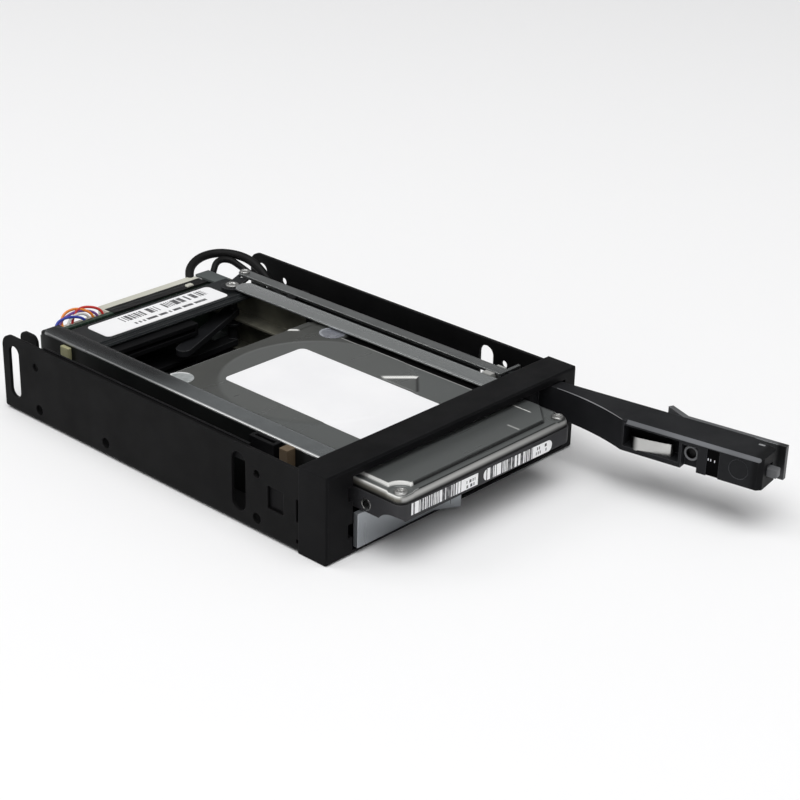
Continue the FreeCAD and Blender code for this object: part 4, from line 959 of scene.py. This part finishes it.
for doorSide in doorTurns:
    makeLeaf(doorSide)
print("leaf springs bent")

bevelLining = {
    "start": 33.6, "end": 75.4, "inner": 5.9, "bevel": 1.0, "half": 0.66, "sheet": 0.1, "softness": 0.35,
    "tip": 0.02, "steps": 90,
}
trimGrey = {
    "tones": ((0.1, 0.104, 0.112), (0.14, 0.145, 0.155)), "edgeWearAndSheen": (0.2, 0.205, 0.215),
    "rough": (0.4, 0.55), "shine": 0.3, "stretch": (1.0, 1.0, 0.3), "grainScale": 2600.0, "edge": 0.1,
}


# The bevel's lining is a flat section carried along the door, half round at both ends; across runs down the
# bevel, and its thickness stands square to it.
def makeBevelLining(side, finish):
    lining = bevelLining
    part = np.sin(np.linspace(-np.pi / 2.0, np.pi / 2.0, lining["steps"]))[:, None]
    s = (lining["start"] + lining["end"]) / 2.0 + part * (lining["end"] - lining["start"]) / 2.0
    fromEnd = np.minimum(s - lining["start"], lining["end"] - s)
    width = np.sqrt(1.0 - (1.0 - np.clip(fromEnd / lining["half"], lining["tip"], 1.0)) ** 2)
    across, up = softSection(lining["half"], lining["sheet"], lining["softness"])
    slant = math.sqrt(0.5)
    down = width * across
    h = lining["inner"] - lining["bevel"] / 2.0 + slant * (down + up)
    z = doorTop(side) - lining["bevel"] / 2.0 + slant * (up - down)
    mesh = skinMesh(side + "BevelLining", onDoor(side, s, h, z))
    addPiece(side + "BevelLining", mesh, finish, side + "_door", "grey_plastic")


neckBead = {
    "start": 9.0, "end": 33.9, "foot": (2.0, -1.6), "top": (34.0, 5.9), "radius": 0.15, "sunk": 0.05,
    "thinnest": 0.4, "endPart": 0.03, "steps": 80, "around": 12,
}
highlightGrey = {
    "tones": ((0.22, 0.225, 0.235), (0.32, 0.325, 0.335)), "rough": (0.3, 0.42), "shine": 0.4,
    "grainScale": 1500.0, "edge": 0.1,
}


# The bead on the neck's upper edge is a thin round section along the neck's arc, thinner towards its ends;
# its pale grey is a painted highlight along that edge.
# The arc leaves the foot along the door and passes through the top.
def makeNeckBead(side, finish):
    bead = neckBead
    run = bead["top"][0] - bead["foot"][0]
    rise = bead["top"][1] - bead["foot"][1]
    radius = (run * run + rise * rise) / (2.0 * rise)
    s = np.linspace(bead["start"], bead["end"], bead["steps"])[:, None]
    h = bead["foot"][1] + radius - np.sqrt(radius ** 2 - (s - bead["foot"][0]) ** 2)
    part = np.linspace(bead["endPart"], 1.0 - bead["endPart"], bead["steps"])[:, None]
    taper = bead["thinnest"] + (1.0 - bead["thinnest"]) * np.sin(np.pi * part)
    across, up = softSection(bead["radius"], bead["radius"], 1.0, bead["around"])
    gridH = h - bead["sunk"] + taper * across
    gridZ = doorTop(side) - bead["sunk"] + taper * up
    mesh = skinMesh(side + "NeckBead", onDoor(side, s, gridH, gridZ))
    addPiece(side + "NeckBead", mesh, finish, side + "_door", "grey_plastic")


windowMarks = {
    "places": ((60.4, 4.3), (61.15, 4.35), (62.3, 4.4)), "face": 5.75, "half": (0.14, 0.36), "softness": 0.5,
    "around": 20, "shrink": (1.0, 1.0, 0.7, 0.05), "lift": (-0.1, 0.03, 0.06, 0.06),
}
markWhite = {
    "tones": ((0.55, 0.57, 0.6), (0.7, 0.72, 0.75)), "rough": (0.4, 0.5), "grainScale": 1500.0, "edge": 0.05,
}
topNick = {
    "place": (71.7, -2.9), "half": (0.95, 0.42), "softness": 0.6, "around": 28,
    "shrink": (1.0, 1.0, 0.8, 0.05), "lift": (-0.2, 0.02, 0.06, 0.06),
}


# A small pad: a rounded section that keeps its size up its side and closes over at its face.
def padGrid(pad):
    across, up = softSection(*pad["half"], pad["softness"], pad["around"])
    shrink = np.array(pad["shrink"])[:, None]
    return shrink * across, shrink * up, np.array(pad["lift"])[:, None]


# Light marks on the window are such pads.
def makeWindowMarks(side, finish):
    across, up, lift = padGrid(windowMarks)
    for count, (s, drop) in enumerate(windowMarks["places"]):
        name = side + "WindowMark" + str(count + 1)
        z = doorTop(side) - drop + up
        mesh = skinMesh(name, onDoor(side, s + across, windowMarks["face"] + lift, z))
        addPiece(name, mesh, finish, side + "_door", "label")


# The nick on the door's upper face is such a pad lying flat, in the same pale grey, a painted highlight.
def makeNick(side, finish):
    across, up, lift = padGrid(topNick)
    s, h = topNick["place"]
    mesh = skinMesh(side + "TopNick", onDoor(side, s + across, h + up, doorTop(side) + lift))
    addPiece(side + "TopNick", mesh, finish, side + "_door", "grey_plastic")


bossRing = {
    "at": 54.8, "foot": 3.2, "top": 4.75, "radius": 2.2, "bore": 1.5, "floor": 3.3, "crown": 0.35,
    "crownPower": 0.6, "crownSteps": 13, "floorRound": (0.2, 0.98), "middle": 0.03, "around": 64,
    "darkFrom": 0.05, "darkEdge": 0.04,
}
greyMoulding = {
    "tones": ((0.1, 0.102, 0.107), (0.145, 0.148, 0.154)), "edgeWearAndSheen": (0.3, 0.305, 0.315),
    "rough": (0.38, 0.5), "shine": 0.25, "grainScale": 1900.0,
}


# The boss ring is turned about an axis square to the door: up its outer side, over a top whose section is a
# cosine and a sine raised to a low power, and down the bore to a floor painted black as shade.
def makeBossRing(side):
    ring = bossRing
    wall = (ring["radius"] - ring["bore"]) / 2.0
    over = np.linspace(0.0, np.pi, ring["crownSteps"])
    crownReach = np.sign(np.cos(over)) * np.abs(np.cos(over)) ** ring["crownPower"]
    crownRise = np.sin(over) ** ring["crownPower"]
    floorRise, floorShare = ring["floorRound"]
    reach = np.concatenate((
        (ring["radius"],),
        ring["bore"] + wall + wall * crownReach,
        (ring["bore"], ring["bore"] * floorShare, ring["middle"]),
    ))[:, None]
    height = np.concatenate((
        (ring["foot"],),
        ring["top"] - ring["crown"] + ring["crown"] * crownRise,
        (ring["floor"] + floorRise, ring["floor"], ring["floor"]),
    ))[:, None]
    turn = anglesRound(ring["around"])
    gridS = ring["at"] + reach * np.cos(turn)
    gridZ = middleHeight(side + "_boss_ring") + reach * np.sin(turn)
    mesh = skinMesh(side + "BossRing", onDoor(side, gridS, height, gridZ))
    # The bore's floor carries painted shade, in the tone of the doors' shaded ends.
    paintedShade = ease((ring["bore"] + ring["darkFrom"] - reach) / ring["darkEdge"])
    giveTone(mesh, "bore", np.broadcast_to(paintedShade, gridS.shape))
    finish = paintedFinish(side + "BossRingGrey", greyMoulding, {"bore": doorEndShade["tone"]})
    addPiece(side + "BossRing", mesh, finish, side + "_door", "grey_plastic", side + "_boss_ring")


boltNose = {"low": (71.0, -0.45, -1.6), "high": (78.7, 2.05, 1.0), "round": 0.4}


# The bolt is a soft block along the door, its height counted from the middle of its node.
def makeBoltNose(side, finish):
    s, h, z = softBlock(boltNose["low"], boltNose["high"], boltNose["round"])
    mesh = skinMesh(side + "BoltNose", onDoor(side, s, h, middleHeight(side + "_bolt") + z))
    addPiece(side + "BoltNose", mesh, finish, side + "_bolt", "grey_plastic", side + "_bolt")


trimFinish = plainFinish("trimGrey", trimGrey)
highlightFinish = plainFinish("highlightGrey", highlightGrey)
markFinish = plainFinish("markWhite", markWhite)
boltFinish = plainFinish("greyMoulding", greyMoulding)
for doorSide in doorTurns:
    makeBevelLining(doorSide, trimFinish)
    makeNeckBead(doorSide, highlightFinish)
    makeWindowMarks(doorSide, markFinish)
    makeNick(doorSide, highlightFinish)
    makeBossRing(doorSide)
    makeBoltNose(doorSide, boltFinish)
print("doors trimmed")

# The caps' tones are painted sheen and highlight: the right cap is a lighter copy of the same sheet as the
# left.
railCaps = {
    "left": {"rearTone": (0.011, 0.012, 0.0135), "tone": (0.21, 0.225, 0.23), "lip": (0.95, 0.96, 0.96),
        "stopShort": 0.3, "darkTo": 21.0, "fade": 30.0, "rearLip": 0.25, "shine": 0.15},
    "right": {"rearTone": (0.36, 0.37, 0.375), "tone": (0.29, 0.305, 0.305), "lip": (0.6, 0.62, 0.62),
        "stopShort": 19.2, "darkTo": 60.0, "fade": 70.0, "rearLip": 0.5, "shine": 0.4},
}
capShape = {
    "halfUp": 0.44, "softness": 0.3, "overlap": 0.07, "crown": 0.06, "sunk": 0.4, "frontIn": 0.05,
    "endRound": 1.6, "around": 96, "steps": 80,
}
capMarks = {
    "sideFrom": 0.1, "sideOver": 0.7, "sideShare": 0.35, "lipFrom": 0.8, "lipOver": 0.1, "lineFrom": 0.93,
    "lineOver": 0.03, "lineShare": 0.3, "upper": 0.2, "streakScale": 180.0, "streakLeast": 0.85,
}
capSheet = {
    "rough": (0.2, 0.32), "metal": 0.7, "stretch": (1.0, 0.04, 1.0), "grainScale": 2600.0,
    "grainDepth": 0.006, "edge": 0.1,
}


# A rail's top is a rolled sheet: a flat rounded section carried from front to rear, drawn in by a quarter
# round at its rear end. A painted sheen makes it paler towards the front and towards its left lip, which
# carries a painted highlight; its right edge shows a thin painted highlight line.
def makeRailCap(side, own):
    cap = capShape
    mark = capMarks
    low, high = boxMm(side + "_rail")
    half = (high[0] - low[0]) / 2.0 + cap["overlap"]
    across, up = softSection(half, cap["halfUp"], cap["softness"], cap["around"])
    y = np.linspace(low[1] + cap["frontIn"], high[1] - own["stopShort"], cap["steps"])[:, None]
    crown = cap["crown"] * (1.0 - (across / half) ** 2) * np.sign(up)
    fromEnd = np.clip((y[-1] - y) / cap["endRound"], 0.0, 1.0)
    drawnIn = cap["endRound"] * (1.0 - np.sqrt(1.0 - (1.0 - fromEnd) ** 2))
    x = (low[0] + high[0]) / 2.0 + across * (1.0 - drawnIn / half)
    mesh = skinMesh(side + "RailCap", pointsOf(x, y, high[2] - cap["sunk"] + up + crown))
    outward = -across / half
    toFront = ease((own["darkTo"] - y) / own["fade"])
    toSide = mark["sideShare"] * ease((outward - mark["sideFrom"]) / mark["sideOver"])
    giveTone(mesh, "front", toFront + (1.0 - toFront) * toSide)
    lip = ease((outward - mark["lipFrom"]) / mark["lipOver"])
    lip = lip * (own["rearLip"] + (1.0 - own["rearLip"]) * toFront)
    line = mark["lineShare"] * ease((-outward - mark["lineFrom"]) / mark["lineOver"])
    giveTone(mesh, "lip", (lip + line) * ease((up + mark["upper"]) / mark["upper"]))
    look = dict(capSheet, tones=(own["rearTone"], own["rearTone"]), shine=own["shine"])
    finish, tree, shader, place, colour = startFinish(side + "RailCap", look)
    streak = spread(tree, mottle(tree, place, mark["streakScale"]), *noiseBand, mark["streakLeast"], 1.0)
    paler = calc(tree, "MULTIPLY", readTone(tree, "front"), streak)
    colour = blendTone(tree, paler, colour, tone(own["tone"]))
    colour = blendTone(tree, readTone(tree, "lip"), colour, tone(own["lip"]))
    tree.links.new(colour, shader.inputs["Base Color"])
    addPiece(side + "RailCap", mesh, finish, "chassis", "dark_sheet")


for railSide, railOwn in railCaps.items():
    makeRailCap(railSide, railOwn)
print("rails capped")

boardTape = {
    "x": (-11.6, 27.2), "y": (64.4, 69.1), "sheet": 0.12, "sag": 0.2, "sagFrom": 0.5, "sagOver": 0.2,
    "ripple": 0.02, "ripples": (0.8, 2.0), "foot": 0.25, "grid": (90, 24),
}
tapeBlack = {
    "tones": ((0.008, 0.008, 0.008), (0.013, 0.013, 0.013)), "rough": (0.45, 0.6), "shine": 0.15,
    "grainScale": 1300.0, "edge": 0.1,
}


# A strip of black tape lies over the board's upper edge and the front of the rear connector: an eased sag
# from front to rear and a low sine ripple.
def makeBoardTape():
    tape = boardTape
    top = boxMm("backplane")[1][2]
    columns, rows = tape["grid"]
    x, y = np.meshgrid(np.linspace(*tape["x"], columns), np.linspace(*tape["y"], rows))
    over = (y - tape["y"][0]) / (tape["y"][1] - tape["y"][0])
    sag = tape["sag"] * ease((over - tape["sagFrom"]) / tape["sagOver"])
    ripple = tape["ripple"] * np.sin(tape["ripples"][0] * x + tape["ripples"][1] * y)
    mesh = sheetOver("boardTape", x, y, top + tape["sheet"] - sag + ripple, top - tape["foot"])
    addPiece("boardTape", mesh, plainFinish("tapeBlack", tapeBlack), "chassis", "black_plastic")


makeBoardTape()

rearSpacer = {"wide": 1.4, "round": 0.25, "front": 1.0, "foot": 3.4, "under": 0.7}
spacerNylon = {
    "tones": ((0.3, 0.29, 0.16), (0.38, 0.37, 0.22)), "edgeWearAndSheen": (0.45, 0.44, 0.3), "rough": (0.4, 0.55),
    "shine": 0.3, "grainScale": 1500.0,
}


# The rear spacer is a thin nylon block on the left rail's web, a soft block along y.
def makeRearSpacer():
    spacer = rearSpacer
    low, high = boxMm("spacer_rear")
    nearCorner = (low[1] + spacer["front"], high[0] - spacer["wide"], low[2] + spacer["foot"])
    farCorner = (high[1], high[0], high[2] - spacer["under"])
    y, x, z = softBlock(nearCorner, farCorner, spacer["round"])
    mesh = skinMesh("rearSpacer", pointsOf(x, y, z))
    addPiece("rearSpacer", mesh, plainFinish("spacerNylon", spacerNylon), "chassis", "tan", "spacer_rear")


makeRearSpacer()

ribbedClip = {
    "x": (18.9, 21.5), "y": (64.7, 66.3), "z": (20.3, 21.15), "round": 0.2, "softness": 0.3, "ribs": 3,
    "ribDepth": 0.3, "flankDarkReflection": 0.4,
}


# A small ribbed clip on the tape: a soft block along y whose upper side sinks between the ribs as a cosine
# along x.
def makeRibbedClip():
    clip = ribbedClip
    y, x, z = softBlock(*zip(clip["y"], clip["x"], clip["z"]), clip["round"], clip["softness"])
    part = (x - clip["x"][0]) / (clip["x"][1] - clip["x"][0])
    sunk = clip["ribDepth"] * (0.5 + 0.5 * np.cos(2.0 * np.pi * clip["ribs"] * part))
    mesh = skinMesh("ribbedClip", pointsOf(x, y, z - sunk * (z > clip["z"][0] + clip["flankDarkReflection"])))
    addPiece("ribbedClip", mesh, ivoryFinish, "chassis", "ivory")


makeRibbedClip()

sideHole = {
    "front": 12.4, "step": 73.95, "up": 2.2, "radius": 1.42, "rim": 0.3, "deep": 2.2, "proud": 0.04,
    "sunk": 0.06, "coneDeep": 0.6, "coneShare": 0.9, "tip": 0.03, "around": 40,
}


# The drive's side holes have a bright bore: turned about x, from a thin rim on the face to a cone at its
# end.
def makeSideHoles():
    hole = sideHole
    low, high = boxMm("drive_base")
    turn = anglesRound(hole["around"])
    rim = hole["radius"] + hole["rim"]
    reach = np.array((rim, rim, hole["radius"], hole["radius"] * hole["coneShare"], hole["tip"]))[:, None]
    coneStart = hole["deep"] - hole["coneDeep"]
    inward = np.array((hole["sunk"], -hole["proud"], -hole["proud"], coneStart, hole["deep"]))[:, None]
    z = low[2] + hole["up"] + reach * np.sin(turn)
    for count, (face, direction) in enumerate(((low[0], 1.0), (high[0], -1.0))):
        for index in range(2):
            y = low[1] + hole["front"] + index * hole["step"] + reach * np.cos(turn)
            name = "sideHole" + str(2 * count + index + 1)
            mesh = skinMesh(name, pointsOf(face + direction * inward, y, z))
            addPiece(name, mesh, screwFinish, "drive", "steel")


makeSideHoles()

solderRows = {
    "left": -31.2, "pitch": 2.54, "count": 24, "rows": (4.2, 6.7, 12.6, 15.1), "radius": 0.55, "rise": 0.34,
    "sunk": 0.02, "around": 12, "rings": (1.0, 0.85, 0.6, 0.3),
}
solderTin = {
    "tones": ((0.42, 0.43, 0.42), (0.6, 0.6, 0.58)), "edgeWearAndSheen": (0.8, 0.8, 0.78), "rough": (0.22, 0.36),
    "metal": 1.0, "grainScale": 1500.0, "edge": 0.1,
}


# Solder points behind the two sockets: low domes on a grid, all in one mesh, each as high as 1 - r squared.
def makeSolderRows():
    solder = solderRows
    x, z = np.meshgrid(solder["left"] + solder["pitch"] * np.arange(solder["count"]), solder["rows"])
    centres = pointsOf(x, boxMm("backplane")[1][1] - solder["sunk"], z).reshape(-1, 1, 3)
    turn = anglesRound(solder["around"])
    part = np.array(solder["rings"])[:, None]
    reach = solder["radius"] * part
    dome = pointsOf(reach * np.cos(turn), solder["rise"] * (1.0 - part ** 2), reach * np.sin(turn))
    rings, columns = dome.shape[:2]
    points = centres + dome.reshape(1, -1, 3)
    firstPoint = rings * columns * np.arange(len(centres))[:, None, None]
    quads = (gridQuads(rings, columns) + firstPoint).reshape(-1, 4)
    outerAndInner = np.arange(rings * columns).reshape(rings, columns)[[0, -1]]
    ends = (outerAndInner + firstPoint).reshape(-1, columns)
    mesh = bpy.data.meshes.new("solderRows")
    mesh.from_pydata(points.reshape(-1, 3).tolist(), [], quads.tolist() + ends.tolist())
    addPiece("solderRows", smoothed(mesh), plainFinish("solderTin", solderTin), "chassis", "steel")


makeSolderRows()
print("rear fitted")


# One smooth spline with the route's points as its control points, as thick as the cord. Routes are in the
# drawing's frame.
def layCord(name, route, radius, finish, slotName, *replaced):
    line = bpy.data.curves.new(name, "CURVE")
    line.dimensions = "3D"
    spline = line.splines.new("NURBS")
    spline.points.add(len(route) - 1)
    points = (np.array(route) - (0.0, originY, 0.0)) * mm
    spline.points.foreach_set("co", np.column_stack((points, np.ones(len(points)))).ravel())
    spline.order_u = 3
    spline.use_endpoint_u = True
    spline.resolution_u = 12
    line.bevel_depth = radius * mm
    line.bevel_resolution = 5
    line.use_fill_caps = True
    addPiece(name, line, finish, "chassis", slotName, *replaced)


# Each wire rises from the header, arches to the left in its own uneven curve and goes back into the header.
wireBundle = {"radius": 0.42}
wireSheath = {"rough": (0.35, 0.5), "shine": 0.4, "grainScale": 1500.0, "grainDepth": 0.01, "edge": 0.1}
wires = {
    "red": {"tones": ((0.5, 0.02, 0.015), (0.62, 0.04, 0.03)), "route": (
        (-13.2, 136.0, 18.2), (-13.3, 136.2, 20.4), (-15.2, 137.6, 22.0), (-18.8, 139.4, 22.6),
        (-22.0, 139.6, 21.4), (-23.2, 139.0, 18.2))},
    "orange": {"tones": ((0.72, 0.2, 0.02), (0.85, 0.28, 0.04)), "route": (
        (-16.6, 136.4, 18.2), (-16.8, 136.6, 20.2), (-18.4, 138.4, 21.8), (-21.2, 140.4, 22.4),
        (-24.4, 141.0, 21.6), (-26.6, 140.2, 19.8), (-26.8, 139.0, 18.2))},
    "white": {"tones": ((0.62, 0.62, 0.6), (0.75, 0.75, 0.73)), "route": (
        (-17.6, 137.4, 18.2), (-17.8, 137.5, 19.8), (-19.6, 138.4, 21.0), (-22.6, 138.8, 20.9),
        (-25.0, 138.6, 19.4), (-25.2, 138.4, 18.2))},
    "purple": {"tones": ((0.14, 0.05, 0.24), (0.22, 0.09, 0.34)), "route": (
        (-14.8, 136.6, 18.2), (-15.0, 136.8, 20.0), (-17.6, 138.4, 21.4), (-21.4, 139.8, 21.6),
        (-25.6, 139.8, 20.6), (-28.2, 139.2, 19.2), (-28.4, 138.9, 18.2))},
    "blue": {"tones": ((0.015, 0.03, 0.3), (0.03, 0.06, 0.42)), "route": (
        (-19.6, 136.4, 18.2), (-20.0, 136.6, 19.8), (-22.6, 138.2, 20.8), (-26.0, 139.4, 20.8),
        (-28.8, 139.6, 19.8), (-29.6, 139.0, 18.2))},
}
for wireName, wire in wires.items():
    sheath = plainFinish(wireName + "Sheath", dict(wireSheath, tones=wire["tones"]))
    node = "wire_" + wireName
    layCord(wireName + "Wire", wire["route"], wireBundle["radius"], sheath, node, node)

cableRun = {"radius": 1.45, "route": (
    (25.2, 138.4, 17.4), (26.6, 141.6, 20.2), (30.2, 144.4, 22.2), (35.4, 145.2, 23.6), (41.0, 143.6, 24.0),
    (44.8, 138.6, 23.8), (46.2, 132.2, 22.8), (46.4, 126.2, 19.4), (46.5, 120.6, 13.8), (46.3, 108.0, 9.4),
    (46.5, 80.0, 8.6), (46.3, 40.0, 8.9), (46.4, 10.45, 8.7))}
thinCable = {"radius": 1.1, "route": (
    (30.4, 134.5, 16.2), (30.8, 137.2, 16.4), (33.4, 138.6, 17.4), (35.4, 139.2, 20.2), (37.2, 140.2, 22.2),
    (40.0, 140.3, 22.8), (42.4, 138.4, 22.4), (43.4, 135.6, 21.0), (44.9, 131.4, 18.6), (46.2, 126.4, 14.4),
    (46.4, 119.4, 9.4), (46.4, 108.0, 6.1), (46.5, 80.0, 5.7), (46.3, 40.0, 5.9), (46.4, 10.45, 5.8))}
cableSheath = {
    "tones": ((0.006, 0.006, 0.006), (0.01, 0.01, 0.01)), "rough": (0.42, 0.6), "shine": 0.12,
    "grainScale": 1200.0, "edge": 0.1,
}
sheathBlack = plainFinish("cableSheath", cableSheath)
layCord("cableLoop", cableRun["route"], cableRun["radius"], sheathBlack, "cable_black", "cable_loop")
layCord("thinCable", thinCable["route"], thinCable["radius"], sheathBlack, "cable_black")
print("cords laid")

studioFloor = {
    "tone": (0.93, 0.93, 0.935), "rough": 0.9, "shine": 0.05, "radius": 2600.0, "rim": 800.0,
    "flat": 1500.0, "flatShare": 0.4, "drop": 0.2, "around": 96, "rings": 30,
}
studioLamps = {
    "overheadLamp": {"watts": 37.0, "size": 2.0, "spot": (-0.5, -0.5, 1.9)},
    "rearLamp": {"watts": 4.5, "size": 0.8, "spot": (-0.75, 1.15, 1.2)},
}
studioSky = {"tone": (1.0, 1.0, 1.0), "strength": 0.29}


# The floor is a dish turned about the upright axis: flat, then rising along a quarter of an ellipse.
def layFloor(look):
    turn = anglesRound(look["around"])
    part = np.linspace(0.0, 1.0, look["rings"])[1:, None]
    outer = np.clip(part - look["flatShare"], 0.0, 1.0) / (1.0 - look["flatShare"])
    climb = outer * np.pi / 2.0
    onFlat = part / look["flatShare"] * look["flat"]
    onRim = look["flat"] + np.sin(climb) * (look["radius"] - look["flat"])
    reach = np.where(part < look["flatShare"], onFlat, onRim)
    height = (1.0 - np.cos(climb)) * look["rim"] - look["drop"]
    points = pointsOf(reach * np.cos(turn), reach * np.sin(turn), height)
    faces = gridQuads(*points.shape[:2])[:, ::-1].tolist()
    faces.append(list(range(look["around"])))
    sheet = bpy.data.meshes.new("studioFloor")
    sheet.from_pydata(points.reshape(-1, 3).tolist(), [], faces)
    sheet.polygons.foreach_set("use_smooth", np.ones(len(faces), bool))
    floor = bpy.data.objects.new("studioFloor", sheet)
    scene.collection.objects.link(floor)
    paper = bpy.data.materials.new("studioPaper")
    paper.use_nodes = True
    shader = paper.node_tree.nodes["Principled BSDF"]
    shader.inputs["Base Color"].default_value = tone(look["tone"])
    shader.inputs["Roughness"].default_value = look["rough"]
    shader.inputs["Specular IOR Level"].default_value = look["shine"]
    sheet.materials.append(paper)


# A square lamp at its spot, turned to face the origin.
def hangLamp(name, look):
    lamp = bpy.data.lights.new(name, "AREA")
    lamp.energy = look["watts"]
    lamp.size = look["size"]
    hung = bpy.data.objects.new(name, lamp)
    scene.collection.objects.link(hung)
    hung.location = look["spot"]
    hung.rotation_euler = (-Vector(look["spot"])).to_track_quat("-Z", "Y").to_euler()


layFloor(studioFloor)
for lampName, lampLook in studioLamps.items():
    hangLamp(lampName, lampLook)
scene.world = bpy.data.worlds.new("studioSky")
scene.world.use_nodes = True
sky = scene.world.node_tree.nodes["Background"]
sky.inputs["Color"].default_value = tone(studioSky["tone"])
sky.inputs["Strength"].default_value = studioSky["strength"]
print("studio lit")
